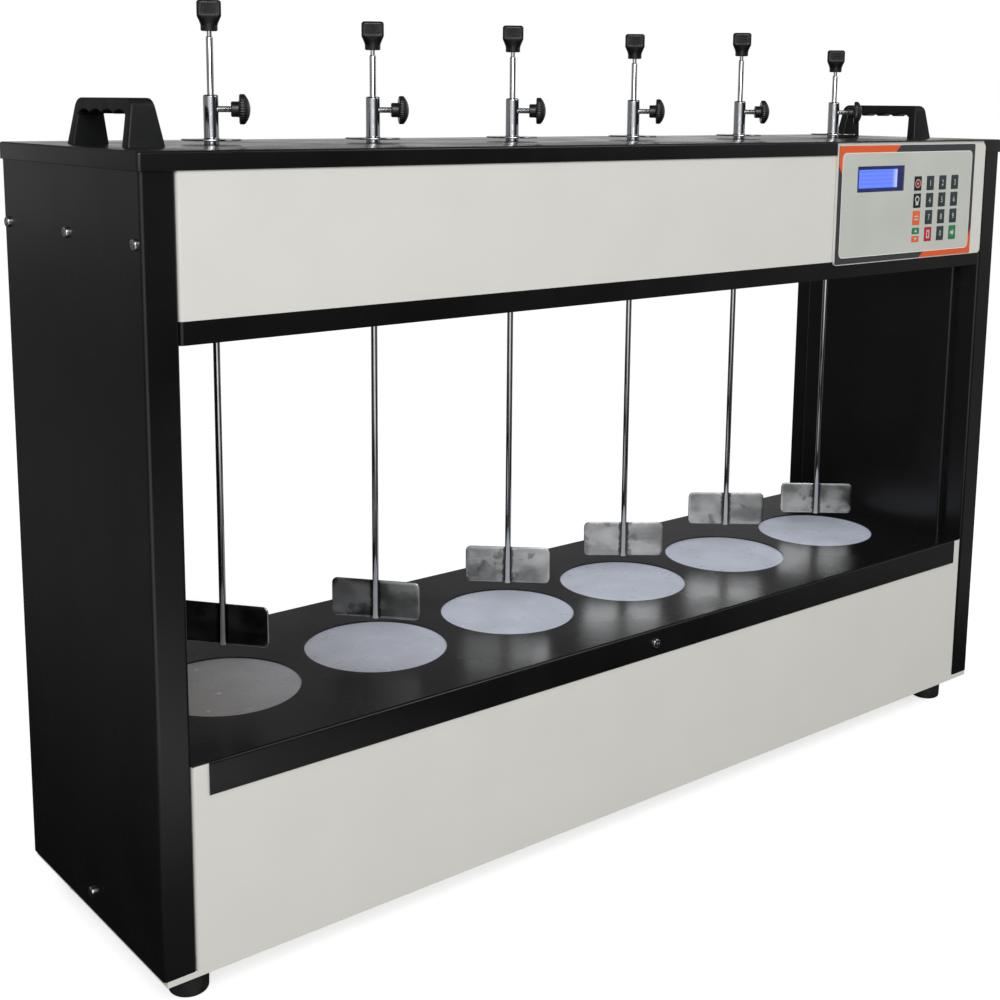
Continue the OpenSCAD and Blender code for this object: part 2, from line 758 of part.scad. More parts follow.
// Flanged bearing unit, housing and ring as bought, standing on z = 0
module bearing_unit() {
    difference() {
        union() {
            linear_extrude(bearing_h / 2) round_rect(bearing_side, bearing_side, 6);
            cylinder(h = bearing_h, d = bearing_boss_d);
        }
        translate([0, 0, -1]) cylinder(h = bearing_h + 2, d = bearing_d);
        for (groove = [spindle_d + 5, bearing_boss_d - 8])
            translate([0, 0, bearing_h - 1]) difference() {
                cylinder(h = 2, d = groove + 1);
                translate([0, 0, -1]) cylinder(h = 4, d = groove - 1);
            }
    }
}

module bearing_units() {
    color("#8f9296") for (i = [0 : stations - 1]) at_station(i)
        for (z = [floor_z, plate_z + plate_t]) translate([0, 0, z]) bearing_unit();
}

// Plate that holds the upper bearings, on posts between the stations
module bearing_plate() {
    plate_l = pitch * (stations - 1) + 2 * plate_end;
    color("#a5a8ac") difference() {
        union() {
            block([plate_l, plate_w, plate_t], [row_x, row_y, plate_z]);
            for (i = [0 : 2 : stations - 2], y = [-1, 1])
                translate([station_x(i) + pitch / 2, row_y + y * post_y, floor_z])
                    cylinder(h = plate_z - floor_z, d = post_d);
        }
        for (i = [0 : stations - 1]) at_station(i)
            translate([0, 0, plate_z - 1]) cylinder(h = plate_t + 2, d = lid_hole_d);
    }
}

// Mains inlet and switch bezel in one moulding, with no lead in it
module mains_inlet() {
    color("#151515") difference() {
        union() {
            upright(half_d, inlet_out) translate([inlet_x, inlet_z])
                round_rect(inlet_w, inlet_h, 3);
            block([inlet_w - 14, inlet_depth, inlet_h - 10],
                [inlet_x, half_d - inlet_depth / 2, inlet_z - inlet_h / 2 + 5]);
        }
        block([socket_w, 2 * socket_depth, socket_h],
            [inlet_x, half_d + inlet_out, socket_z - socket_h / 2]);
        block([rocker_w + 2 * run_gap, 3 * inlet_depth, 2 * (rocker_r + run_gap)],
            [inlet_x, half_d, rocker_z - rocker_r - run_gap]);
        translate([inlet_x, rocker_y, rocker_z]) rotate([0, 90, 0])
            cylinder(h = rocker_w + 6, d = rocker_pin_d + 2 * shaft_gap, center = true);
    }
    color("#c8b070") for (pin = [[-7, -2], [0, 3], [7, -2]])
        block([2, pin_l, 5], [inlet_x + pin[0], half_d + inlet_out - socket_depth + pin_l / 2,
            socket_z + pin[1] - 2.5]);
}

// Rocker of the mains switch: two faces at a shallow angle on a round back, and its pivot pins
module switch_rocker() {
    middle = 4;
    end = middle + rocker_r * tan(rocker_tilt);
    color("#b3141c") translate([inlet_x, rocker_y, rocker_z]) rotate([90, 0, 90]) {
        linear_extrude(rocker_w, center = true) intersection() {
            circle(rocker_r);
            rotate(-rocker_tilt) polygon([[-2 * rocker_r, -rocker_r], [end, -rocker_r],
                [middle, 0], [end, rocker_r], [-2 * rocker_r, rocker_r]]);
        }
        cylinder(h = rocker_w + 5, d = rocker_pin_d, center = true);
    }
}

// Hollow spindle with its drip disc; the rod runs through it and the clamp screw into its side
module spindle(i) {
    foot_z = head_z - spindle_foot;
    color(chrome) at_station(i) difference() {
        union() {
            rotate_extrude() polygon(concat([[0, foot_z], [spindle_d / 2, foot_z]],
                arc(spindle_d / 2 - spindle_edge, spindle_top - spindle_edge, spindle_edge, 0, 90),
                [[0, spindle_top]]));
            translate([0, 0, lid_z + disc_up - disc_t]) cylinder(h = disc_t, d = disc_d);
        }
        translate([0, 0, foot_z - 1]) cylinder(h = spindle_top - foot_z + 2, d = rod_bore_d);
        translate([0, 0, clamp_z]) rotate([0, 90, clamp_turns[i]])
            cylinder(h = spindle_d, d = clamp_d + 2 * shaft_gap);
    }
}

module pulley(i) {
    color("#b9bcc0") at_station(i) difference() {
        union() {
            translate([0, 0, pulley_hub_z]) cylinder(h = pulley_z - pulley_hub_z, d = pulley_hub_d);
            translate([0, 0, pulley_z]) {
                cylinder(h = pulley_h, d = pulley_d);
                for (k = [0 : 2]) translate([0, 0, k * (track_h + pulley_rim)])
                    cylinder(h = pulley_rim, d = pulley_rim_d);
            }
        }
        translate([0, 0, pulley_hub_z - 1])
            cylinder(h = pulley_z + pulley_h - pulley_hub_z + 2, d = spindle_d);
    }
}

// Clamp screw: a stud into the spindle's side, a hub and a domed head with a fluted rim
module clamp_screw(i) {
    head_x = clamp_reach - clamp_head_l;
    dome = clamp_head_l - clamp_rim_l;
    head_r = clamp_head_d / 2;
    dome_r = (head_r * head_r + dome * dome) / (2 * dome);
    dome_angle = asin(head_r / dome_r);
    color("#1b1c1e") at_station(i) translate([0, 0, clamp_z]) rotate([0, 90, clamp_turns[i]]) {
        translate([0, 0, rod_d / 2 + run_gap])
            cylinder(h = head_x - rod_d / 2 - run_gap, d = clamp_d);
        translate([0, 0, head_x - clamp_hub_l]) cylinder(h = clamp_hub_l, d = clamp_hub_d);
        translate([0, 0, head_x]) difference() {
            rotate_extrude() polygon(concat([[0, 0], [head_r, 0]],
                arc(0, clamp_head_l - dome_r, dome_r, 90 - dome_angle, 90), [[0, 0]]));
            for (k = [0 : clamp_flutes - 1]) rotate(k * 360 / clamp_flutes)
                translate([head_r + flute_d / 4, 0, -1]) cylinder(h = clamp_head_l + 2, d = flute_d);
        }
    }
}

// Stirrer: a rod with a paddle brazed into its slotted lower end
module stirrer(i) {
    color(steel) at_station(i) translate([0, 0, rod_z + lifts[i]]) rotate(paddle_turns[i]) {
        cylinder(h = rod_l - rod_neck_l, d = rod_d);
        translate([0, 0, rod_l - rod_neck_l])
            cylinder(h = rod_neck_l + knob_grip_l, d = rod_neck_d);
        translate([0, paddle_t / 2, rod_past + paddle_h / 2]) rotate([90, 0, 0])
            linear_extrude(paddle_t) round_rect(paddle_w, paddle_h, paddle_r);
    }
}

// Square with its corners cut, as thin as the hull below needs
module knob_slice(w, z) {
    edge = knob_edge * w / knob_w;
    in = w / 2 - edge;
    translate([0, 0, z]) linear_extrude(0.01)
        polygon([[-in, -w / 2], [in, -w / 2], [w / 2, -in], [w / 2, in],
            [in, w / 2], [-in, w / 2], [-w / 2, in], [-w / 2, -in]]);
}

module knob(i) {
    color("#161616") at_station(i) translate([0, 0, rod_z + rod_l + lifts[i]])
        rotate(knob_turns[i]) difference() {
            union() {
                cylinder(h = knob_neck_h + 0.5, d = knob_neck_d);
                hull() {
                    knob_slice(0.66 * knob_w, knob_neck_h);
                    knob_slice(knob_w, knob_neck_h + knob_taper_h);
                    knob_slice(knob_w, knob_h - knob_edge);
                    knob_slice(knob_w - 2 * knob_edge, knob_h - 0.01);
                }
            }
            translate([0, 0, -1]) cylinder(h = knob_grip_l + 1, d = rod_neck_d);
        }
}

base_pan();
rubber_feet();
column(-1);  // left_column
column(1);  // right_column
inner_panel(-1);  // left_inner_panel
inner_panel(1);  // right_inner_panel
lower_rear_panel();
jar_shelf();
window_diffuser();
lamp_strips();
head_tray();
upper_front_panel();
upper_rear_panel();
top_lid();
handle(-1);  // left_handle
handle(1);  // right_handle
cabinet_screws();
control_housing();
fascia_film();
display();
keypad();
control_board();
power_supply();
drive_motor();
motor_pulley();
drive_belts();
bearing_units();
bearing_plate();
mains_inlet();
switch_rocker();
for (i = [0 : stations - 1]) {
    spindle(i);
    pulley(i);
    clamp_screw(i);
    stirrer(i);
    knob(i);
}
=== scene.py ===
# %% [markdown]
# # A six-place jar tester
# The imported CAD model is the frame: every piece below sits where a CAD node says, in metres,
# with +X along the cabinet, +Y to the back and +Z up. Sheet metal keeps its CAD shape and gets
# softened edges and real finishes. Turned, moulded and printed pieces are computed here.

# %% Frame
import json

import bmesh
import bpy
import numpy as np
from mathutils import Matrix, Vector

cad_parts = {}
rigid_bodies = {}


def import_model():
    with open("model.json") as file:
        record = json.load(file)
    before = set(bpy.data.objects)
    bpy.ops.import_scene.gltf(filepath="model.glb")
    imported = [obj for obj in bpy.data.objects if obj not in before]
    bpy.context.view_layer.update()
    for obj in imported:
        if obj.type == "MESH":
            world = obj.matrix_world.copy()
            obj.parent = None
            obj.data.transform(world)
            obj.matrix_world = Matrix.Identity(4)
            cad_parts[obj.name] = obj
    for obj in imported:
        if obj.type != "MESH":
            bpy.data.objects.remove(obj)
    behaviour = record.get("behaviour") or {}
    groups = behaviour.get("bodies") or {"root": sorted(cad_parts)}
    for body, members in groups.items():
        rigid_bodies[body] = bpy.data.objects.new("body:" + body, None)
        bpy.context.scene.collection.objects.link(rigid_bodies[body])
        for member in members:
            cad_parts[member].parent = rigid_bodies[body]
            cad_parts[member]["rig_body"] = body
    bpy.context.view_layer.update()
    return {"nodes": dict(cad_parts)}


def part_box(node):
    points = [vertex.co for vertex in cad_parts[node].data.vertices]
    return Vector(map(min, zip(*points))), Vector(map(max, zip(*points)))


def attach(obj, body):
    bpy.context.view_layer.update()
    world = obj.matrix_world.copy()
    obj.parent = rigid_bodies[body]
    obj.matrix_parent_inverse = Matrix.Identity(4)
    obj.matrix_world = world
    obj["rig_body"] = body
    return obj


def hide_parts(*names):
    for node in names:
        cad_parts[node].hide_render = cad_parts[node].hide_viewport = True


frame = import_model()
MM = 0.001
STATIONS = range(1, 7)


def node_box(name):
    """Lowest and highest corner of a CAD node, in millimetres."""
    low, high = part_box(name)
    return np.array(low) / MM, np.array(high) / MM


def station_axis(number):
    """X and Y of a spindle's axis, the middle of its round disc, in millimetres."""
    low, high = node_box(f"spindle_{number}")
    return (low + high)[:2] / 2


LID_TOP = node_box("top_lid")[1][2]
print("frame:", len(frame["nodes"]), "nodes, lid at", round(LID_TOP, 1), "mm")

# %% [markdown]
# ## Camera
# A pinhole camera stands where the photographer stood: just above the lid, to the left of the
# cabinet's front, turned 39 degrees. Its lens is given by the focal length in pixels of a
# 1000-pixel frame, and the shift says where the lens axis meets that frame.

# %% Camera
CAMERA_PLACE = np.array([-929.2, -1047.3, 668.7])
YAW, PITCH, ROLL = 0.6788, 0.1670, 0.0096
FOCAL_PX, AXIS_X_PX, AXIS_Y_PX, IMAGE_PX = 1476.1, 505.5, 351.9, 1000

forward = np.array([np.sin(YAW) * np.cos(PITCH), np.cos(YAW) * np.cos(PITCH), -np.sin(PITCH)])
level_right = np.array([np.cos(YAW), -np.sin(YAW), 0.0])
level_up = np.cross(level_right, forward)
right = level_right * np.cos(ROLL) + level_up * np.sin(ROLL)
up = level_up * np.cos(ROLL) - level_right * np.sin(ROLL)

camera_data = bpy.data.cameras.new("camera")
camera_data.sensor_width = 36
camera_data.lens = FOCAL_PX / IMAGE_PX * camera_data.sensor_width
camera_data.shift_x = (IMAGE_PX / 2 - AXIS_X_PX) / IMAGE_PX
camera_data.shift_y = (AXIS_Y_PX - IMAGE_PX / 2) / IMAGE_PX
camera = bpy.data.objects.new("camera", camera_data)
camera.matrix_world = Matrix(
    [[right[k], up[k], -forward[k], CAMERA_PLACE[k] * MM] for k in range(3)] + [[0, 0, 0, 1]]
)
bpy.context.scene.collection.objects.link(camera)
bpy.context.scene.camera = camera
bpy.context.scene.view_settings.view_transform = "Standard"

# %% [markdown]
# ## Two helpers for materials
# Colours are written as sRGB hex, as one reads them off a picture, and turned to the linear
# values that a renderer needs. One function adds a shader node with its settings and links.


# %% Colour and nodes
def srgb(code):
    """Linear RGBA of a hex colour: a short straight line near black, a power curve above it."""
    channel = np.array([int(code[k : k + 2], 16) for k in (1, 3, 5)]) / 255
    linear = np.where(channel <= 0.04045, channel / 12.92, ((channel + 0.055) / 1.055) ** 2.4)
    return (*linear.tolist(), 1.0)


def add_node(tree, kind, inputs=(), **settings):
    """Adds a node; an input takes a value, or a socket of another node to link."""
    node = tree.nodes.new(kind)
    for key, value in settings.items():
        setattr(node, key, value)
    for key, value in dict(inputs).items():
        if isinstance(value, bpy.types.NodeSocket):
            tree.links.new(value, node.inputs[key])
        else:
            node.inputs[key].default_value = value
    return node


def new_material(name, colour, roughness, **sockets):
    """A Principled material; sockets are named with _ for each space."""
    material = bpy.data.materials.new(name)
    material.use_nodes = True
    shader = material.node_tree.nodes["Principled BSDF"]
    shader.inputs["Base Color"].default_value = srgb(colour)
    shader.inputs["Roughness"].default_value = roughness
    for key, value in sockets.items():
        shader.inputs[key.replace("_", " ")].default_value = value
    return material


def noise_on(material, size_mm, detail=2.0, stretch=(1, 1, 1)):
    """Noise in object space whose lumps are size_mm wide, drawn out along an axis by stretch."""
    tree = material.node_tree
    place = add_node(tree, "ShaderNodeTexCoord").outputs["Object"]
    mapped = add_node(tree, "ShaderNodeMapping", {"Vector": place, "Scale": stretch}).outputs[0]
    return add_node(
        tree,
        "ShaderNodeTexNoise",
        {"Vector": mapped, "Scale": 1 / (size_mm * MM), "Detail": detail},
    ).outputs["Fac"]


def vary(material, socket, fac, low, high, low_at=0.35, high_at=0.65):
    """Drives a shader socket between two values, or two hex colours, as fac passes a range."""
    tree = material.node_tree
    shader = tree.nodes["Principled BSDF"]
    if isinstance(low, str):
        ramp = add_node(tree, "ShaderNodeValToRGB", {"Fac": fac})
        for stop, at, code in zip(ramp.color_ramp.elements, (low_at, high_at), (low, high)):
            stop.position, stop.color = at, srgb(code)
        tree.links.new(ramp.outputs["Color"], shader.inputs[socket])
    else:
        spread = add_node(
            tree,
            "ShaderNodeMapRange",
            {"Value": fac, "From Min": low_at, "From Max": high_at, "To Min": low, "To Max": high},
        )
        tree.links.new(spread.outputs["Result"], shader.inputs[socket])


def relief(material, fac, height_mm, strength=1.0):
    """Bumps the surface by height_mm times fac."""
    tree = material.node_tree
    bump = add_node(
        tree, "ShaderNodeBump", {"Height": fac, "Distance": height_mm * MM, "Strength": strength}
    )
    tree.links.new(bump.outputs["Normal"], tree.nodes["Principled BSDF"].inputs["Normal"])


# %% [markdown]
# ## Light
# A white studio. Metal and gloss are only as good as what they mirror, so the room is planned as
# a ring of strengths round the object: white behind it, a narrow bright light at the
# photographer's back, a grey wall on the left and a dark one on the right. The ring gives chrome
# its upright bands, and black paint its dark front and greyer side. Behind the object the white
# paper ends a little above the table, so the lid mirrors it and the shelf mirrors the dark room.

# %% World and its ring
RING = (  # degrees to the right of the photographer's side, and the strength seen there
    (-180, 0.95),
    (-150, 0.95),
    (-132, 0.25),
    (-50, 0.23),
    (-36, 0.28),
    (-31, 0.85),
    (-14, 0.85),
    (-9, 1.15),
    (9, 1.15),
    (15, 0.8),
    (30, 0.5),
    (42, 0.04),
    (80, 0.03),
    (93, 0.38),
    (125, 0.3),
    (150, 0.95),
    (180, 0.95),
)
AMBIENT = 0.50
PAPER_TOP, ZENITH = (0.1, 0.25), (0.35, 0.8)  # sines of heights over which the room darkens
BEHIND = (0.35, 0.8)  # cosines of the angle to the heading straight behind the object
DIMMED = 0.11


def studio_ring(tree, heading):
    """Strength of the ring in a direction: its angle from the photographer's side, on a ramp."""
    side = np.array([np.cos(YAW), -np.sin(YAW), 0.0])
    towards = np.array([-np.sin(YAW), -np.cos(YAW), 0.0])
    across, along = [
        add_node(
            tree,
            "ShaderNodeVectorMath",
            {0: heading, 1: axis.tolist()},
            operation="DOT_PRODUCT",
        ).outputs["Value"]
        for axis in (side, towards)
    ]
    angle = add_node(tree, "ShaderNodeMath", {0: across, 1: along}, operation="ARCTAN2")
    turn = add_node(
        tree,
        "ShaderNodeMapRange",
        {"Value": angle.outputs[0], "From Min": -np.pi, "From Max": np.pi},
    )
    ramp = add_node(tree, "ShaderNodeValToRGB", {"Fac": turn.outputs["Result"]})
    stops = ramp.color_ramp.elements
    for _ in range(len(RING) - 2):
        stops.new(0.5)
    for stop, (degrees, strength) in zip(stops, RING):
        stop.position = (degrees + 180) / 360
        stop.color = (strength, strength, strength, 1.0)
    return ramp.outputs["Color"]


world = bpy.data.worlds.new("studio")
bpy.context.scene.world = world
world.use_nodes = True
sky = world.node_tree
sky.nodes.clear()
direction = add_node(sky, "ShaderNodeTexCoord").outputs["Generated"]
ray = add_node(sky, "ShaderNodeLightPath")
reflected = add_node(
    sky,
    "ShaderNodeMath",
    {0: ray.outputs["Is Glossy Ray"], 1: ray.outputs["Is Transmission Ray"]},
    operation="MAXIMUM",
)
upward = add_node(sky, "ShaderNodeSeparateXYZ", {"Vector": direction}).outputs["Z"]
behind = add_node(
    sky,
    "ShaderNodeVectorMath",
    {0: direction, 1: (np.sin(YAW), np.cos(YAW), 0.0)},
    operation="DOT_PRODUCT",
)
parts = [
    add_node(
        sky,
        "ShaderNodeMapRange",
        {"Value": value, "From Min": low, "From Max": high},
        interpolation_type="SMOOTHSTEP",
    ).outputs["Result"]
    for value, low, high in (
        (upward, *PAPER_TOP),
        (behind.outputs["Value"], *BEHIND),
        (upward, *ZENITH),
    )
]
above_paper = add_node(sky, "ShaderNodeMath", {0: parts[0], 1: parts[1]}, operation="MULTIPLY")
dark_part = add_node(
    sky, "ShaderNodeMath", {0: above_paper.outputs[0], 1: parts[2]}, operation="MAXIMUM"
)
dimmed = add_node(
    sky,
    "ShaderNodeMapRange",
    {"Value": dark_part.outputs[0], "To Min": 1.0, "To Max": DIMMED},
)
mirrored_room = add_node(
    sky,
    "ShaderNodeMath",
    {0: studio_ring(sky, direction), 1: dimmed.outputs["Result"]},
    operation="MULTIPLY",
)
level = add_node(
    sky,
    "ShaderNodeMix",
    {"Factor": reflected.outputs[0], "A": AMBIENT, "B": mirrored_room.outputs[0]},
)
shown = add_node(
    sky,
    "ShaderNodeMix",
    {"Factor": ray.outputs["Is Camera Ray"], "A": level.outputs["Result"], "B": 1.0},
)
glow = add_node(
    sky,
    "ShaderNodeBackground",
    {"Color": (1.0, 1.0, 1.0, 1.0), "Strength": shown.outputs["Result"]},
)
add_node(sky, "ShaderNodeOutputWorld", {"Surface": glow.outputs["Background"]})


# %% Lamps and floor
def add_softbox(name, place, aim, size, watts, colour="#ffffff"):
    """A rectangular lamp at place that faces the point aim; lengths in metres."""
    lamp = bpy.data.lights.new(name, "AREA")
    lamp.shape, lamp.size, lamp.size_y = "RECTANGLE", size[0], size[1]
    lamp.energy, lamp.color = watts, srgb(colour)[:3]
    box = bpy.data.objects.new(name, lamp)
    heading = (Vector(aim) - Vector(place)).to_track_quat("-Z", "Y")
    box.matrix_world = Matrix.Translation(place) @ heading.to_matrix().to_4x4()
    bpy.context.scene.collection.objects.link(box)


add_softbox("key_softbox", (-1.5, -2.3, 1.9), (0, 0, 0.35), (1.3, 1.6), 46)
add_softbox("fill_softbox", (1.6, -1.9, 2.4), (0, 0, 0.3), (1.4, 1.2), 14)

FLOOR_HALF = 6.0
floor_mesh = bpy.data.meshes.new("floor")
floor_mesh.from_pydata(
    [(x * FLOOR_HALF, y * FLOOR_HALF, 0) for x, y in ((-1, -1), (1, -1), (1, 1), (-1, 1))],
    [],
    [(0, 1, 2, 3)],
)
floor = bpy.data.objects.new("floor", floor_mesh)
bpy.context.scene.collection.objects.link(floor)
PAPER = 0.66
PAPER_GLOW = 0.66  # seen by the camera alone: lifts the paper to white
MIRROR_CONTRAST = 1.2
DARK_HALF = 0.3  # metres of X on either side where the mirrored floor stays dark
MIRROR_FADE, MIRROR_LEVEL = (0.25, 0.62), (0.1, 0.8)  # metres away, and the strength there
paper = new_material("white_backdrop_paper", "#c8c8c8", 0.9, Specular_IOR_Level=0.0)
floor_mesh.materials.append(paper)
paper_tree = paper.node_tree
paper_ray = add_node(paper_tree, "ShaderNodeLightPath")
lift = add_node(
    paper_tree,
    "ShaderNodeMath",
    {0: paper_ray.outputs["Is Camera Ray"], 1: PAPER_GLOW},
    operation="MULTIPLY",
)
spot = add_node(paper_tree, "ShaderNodeTexCoord").outputs["Object"]
contrast = add_node(
    paper_tree,
    "ShaderNodeMath",
    {0: studio_ring(paper_tree, spot), 1: MIRROR_CONTRAST},
    operation="POWER",
)
spot_xyz = add_node(paper_tree, "ShaderNodeSeparateXYZ", {"Vector": spot})
beside = add_node(paper_tree, "ShaderNodeMath", {0: spot_xyz.outputs["X"]}, operation="ABSOLUTE")
past_end = add_node(
    paper_tree, "ShaderNodeMath", {0: beside.outputs[0], 1: DARK_HALF}, operation="SUBTRACT"
)
before = add_node(
    paper_tree, "ShaderNodeMath", {0: spot_xyz.outputs["Y"], 1: -1.0}, operation="MULTIPLY"
)
away = add_node(
    paper_tree,
    "ShaderNodeMath",
    {0: past_end.outputs[0], 1: before.outputs[0]},
    operation="MAXIMUM",
)
from_front = add_node(
    paper_tree,
    "ShaderNodeMapRange",
    {
        "Value": away.outputs[0],
        "From Min": MIRROR_FADE[0],
        "From Max": MIRROR_FADE[1],
        "To Min": MIRROR_LEVEL[0],
        "To Max": MIRROR_LEVEL[1],
    },
    interpolation_type="SMOOTHSTEP",
)
mirrored = add_node(
    paper_tree,
    "ShaderNodeMath",
    {0: contrast.outputs[0], 1: from_front.outputs["Result"]},
    operation="MULTIPLY",
)
fibre = add_node(
    paper_tree,
    "ShaderNodeMapRange",
    {"Value": noise_on(paper, 3), "To Min": PAPER - 0.01, "To Max": PAPER + 0.01},
)
tone = add_node(
    paper_tree,
    "ShaderNodeMix",
    {
        "Factor": paper_ray.outputs["Is Glossy Ray"],
        "A": fibre.outputs["Result"],
        "B": mirrored.outputs[0],
    },
)
shader = paper_tree.nodes["Principled BSDF"]
shader.inputs["Emission Color"].default_value = (1.0, 1.0, 1.0, 1.0)
paper_tree.links.new(tone.outputs["Result"], shader.inputs["Base Color"])
paper_tree.links.new(lift.outputs[0], shader.inputs["Emission Strength"])

# %% [markdown]
# ## Helpers for shapes
# A shape is a grid of points worked out from two parameters. The helpers turn such a grid into
# faces, join several grids into one mesh, and close it: doubles are merged, so poles and seams
# shut, and the faces are turned outwards.


# %% Grids, lathes and plates
def grid(points, wrap_rows=False, wrap_columns=True, caps=False):
    """(vertices, faces) of an array points[row, column] = (x, y, z), with flat ends if capped."""
    rows, columns = points.shape[:2]
    index = np.arange(rows * columns).reshape(rows, columns)
    here = index if wrap_rows else index[:-1]
    above = np.roll(index, -1, axis=0) if wrap_rows else index[1:]
    if wrap_columns:
        quads = np.stack([here, np.roll(here, -1, 1), np.roll(above, -1, 1), above], axis=-1)
    else:
        quads = np.stack([here[:, :-1], here[:, 1:], above[:, 1:], above[:, :-1]], axis=-1)
    faces = quads.reshape(-1, 4).tolist()
    if caps:
        faces += [index[0, ::-1].tolist(), index[-1].tolist()]
    return points.reshape(-1, 3), faces


def ring_angles(steps):
    """Equal angles round a circle, without the last."""
    return np.arange(steps) * 2 * np.pi / steps


def lathe(profile, steps=64):
    """Turns a profile of (radius, height) about Z: x = r cos a, y = r sin a, z = height."""
    radius, height = np.asarray(profile, float).T[:, :, None]
    angle = ring_angles(steps)[None, :]
    return np.stack(
        [radius * np.cos(angle), radius * np.sin(angle), height + 0 * angle], axis=-1
    )


def arc(centre, radius, start_deg, end_deg, steps=6):
    """Points of a circular arc in a plane, from one angle to another."""
    angle = np.radians(np.linspace(start_deg, end_deg, steps + 1))
    return np.array(centre) + radius * np.stack([np.cos(angle), np.sin(angle)], axis=-1)


def rounded_rectangle(low, high, radius, steps=6):
    """Outline of a rectangle with round corners, anticlockwise from the lower left."""
    (x0, y0), (x1, y1) = np.add(low, radius), np.subtract(high, radius)
    corners = ((x0, y0, 180), (x1, y0, 270), (x1, y1, 0), (x0, y1, 90))
    return np.concatenate([arc((x, y), radius, a, a + 90, steps) for x, y, a in corners])


def circle(centre, radius, steps=96):
    """Points round a circle."""
    angle = ring_angles(steps)
    return np.array(centre) + radius * np.stack([np.cos(angle), np.sin(angle)], axis=-1)


def plate(outlines, height):
    """Flat plate at z = height inside the first outline, with a hole for each other one."""
    sheet = bmesh.new()
    edges = []
    for outline in outlines:
        corners = [sheet.verts.new((x, y, height)) for x, y in outline]
        edges += [
            sheet.edges.new((a, b)) for a, b in zip(corners, corners[1:] + corners[:1])
        ]
    bmesh.ops.triangle_fill(sheet, use_beauty=True, edges=edges, normal=(0, 0, 1))
    sheet.verts.index_update()
    vertices = np.array([corner.co for corner in sheet.verts])
    faces = [[corner.index for corner in face.verts] for face in sheet.faces]
    sheet.free()
    return vertices, faces


def walls(outline, heights):
    """Upright wall along a closed outline, one row for each height."""
    rows = [np.column_stack([outline, np.full(len(outline), h)]) for h in heights]
    return grid(np.stack(rows))


def place(part, matrix):
    """Moves a part's vertices by a 3 x 4 or 4 x 4 array."""
    vertices, faces = part
    matrix = np.asarray(matrix)
    return vertices @ matrix[:3, :3].T + matrix[:3, 3], faces


def turn_z(degrees, shift=(0, 0, 0)):
    """Array for a turn about Z and then a shift."""
    c, s = np.cos(np.radians(degrees)), np.sin(np.radians(degrees))
    return np.array([[c, -s, 0, shift[0]], [s, c, 0, shift[1]], [0, 0, 1, shift[2]]])


def close_mesh(name, parts, sharp_deg):
    """One closed mesh of parts given in millimetres, shaded smooth but for its edges."""
    vertices, faces, start = [], [], 0
    for points, polygons in parts:
        vertices.append(np.asarray(points) * MM)
        faces += [[start + corner for corner in polygon] for polygon in polygons]
        start += len(points)
    mesh = bpy.data.meshes.new(name)
    mesh.from_pydata(np.concatenate(vertices).tolist(), [], faces)
    shell = bmesh.new()
    shell.from_mesh(mesh)
    bmesh.ops.remove_doubles(shell, verts=shell.verts, dist=2e-6)
    bmesh.ops.recalc_face_normals(shell, faces=shell.faces)
    shell.to_mesh(mesh)
    shell.free()
    mesh.polygons.foreach_set("use_smooth", np.ones(len(mesh.polygons), bool))
    mesh.set_sharp_from_angle(angle=np.radians(sharp_deg))
    return mesh


def add_piece(name, mesh, body, material, replaced=()):
    """Adds a piece that rides on a body and may stand for CAD nodes."""
    piece = bpy.data.objects.new(name, mesh)
    bpy.context.scene.collection.objects.link(piece)
    mesh.materials.append(material)
    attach(piece, body)
    if replaced:
        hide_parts(*replaced)
    return piece


def add_shape(name, parts, body, material, replaced=(), sharp_deg=38):
    """Closes parts into one mesh and adds it as a piece."""
    return add_piece(name, close_mesh(name, parts, sharp_deg), body, material, replaced)


# %% [markdown]
# ## Finishes of the sheet metal
# The cabinet is folded steel with powder coat: plastic powder sprayed on and baked. It gives a
# satin skin with a faint orange peel, a little smudged where hands touch it. The black one
# mirrors the backdrop at a low angle, and the white one is warm.

# %% Powder coats
ORANGE_PEEL_MM = 2.2  # real waves of about 1 mm, drawn coarser so that they show


def powder_coat(name, dark, light, roughness):
    """Satin powder coat between two close shades, with orange peel and faint smudges."""
    material = new_material(name, dark, roughness)
    vary(material, "Base Color", noise_on(material, 55, 4), dark, light)
    vary(material, "Roughness", noise_on(material, 90, 3), roughness - 0.04, roughness + 0.06)
    relief(material, noise_on(material, ORANGE_PEEL_MM, 1), 0.03, 0.5)
    return material


black_coat = powder_coat("satin_black_powder_coat", "#0e0e0f", "#121213", 0.25)
white_coat = powder_coat("satin_white_powder_coat", "#d6d4ce", "#d8d6d0", 0.42)
zinc_sheet = powder_coat("zinc_plated_sheet", "#9a9c9f", "#a8aaad", 0.36)
zinc_sheet.node_tree.nodes["Principled BSDF"].inputs["Metallic"].default_value = 1.0

# %% [markdown]
# ## Softened sheet metal
# A sheared and folded sheet has no knife edges, and the paint rounds them further. A copy of
# each CAD shell is cleaned of its loose triangles and gets a small bevel, so that its edges
# catch the light. Flat faces keep flat shading through weighted normals.


# %% Softened copies of CAD nodes
EDGE_ANGLE = np.radians(40)

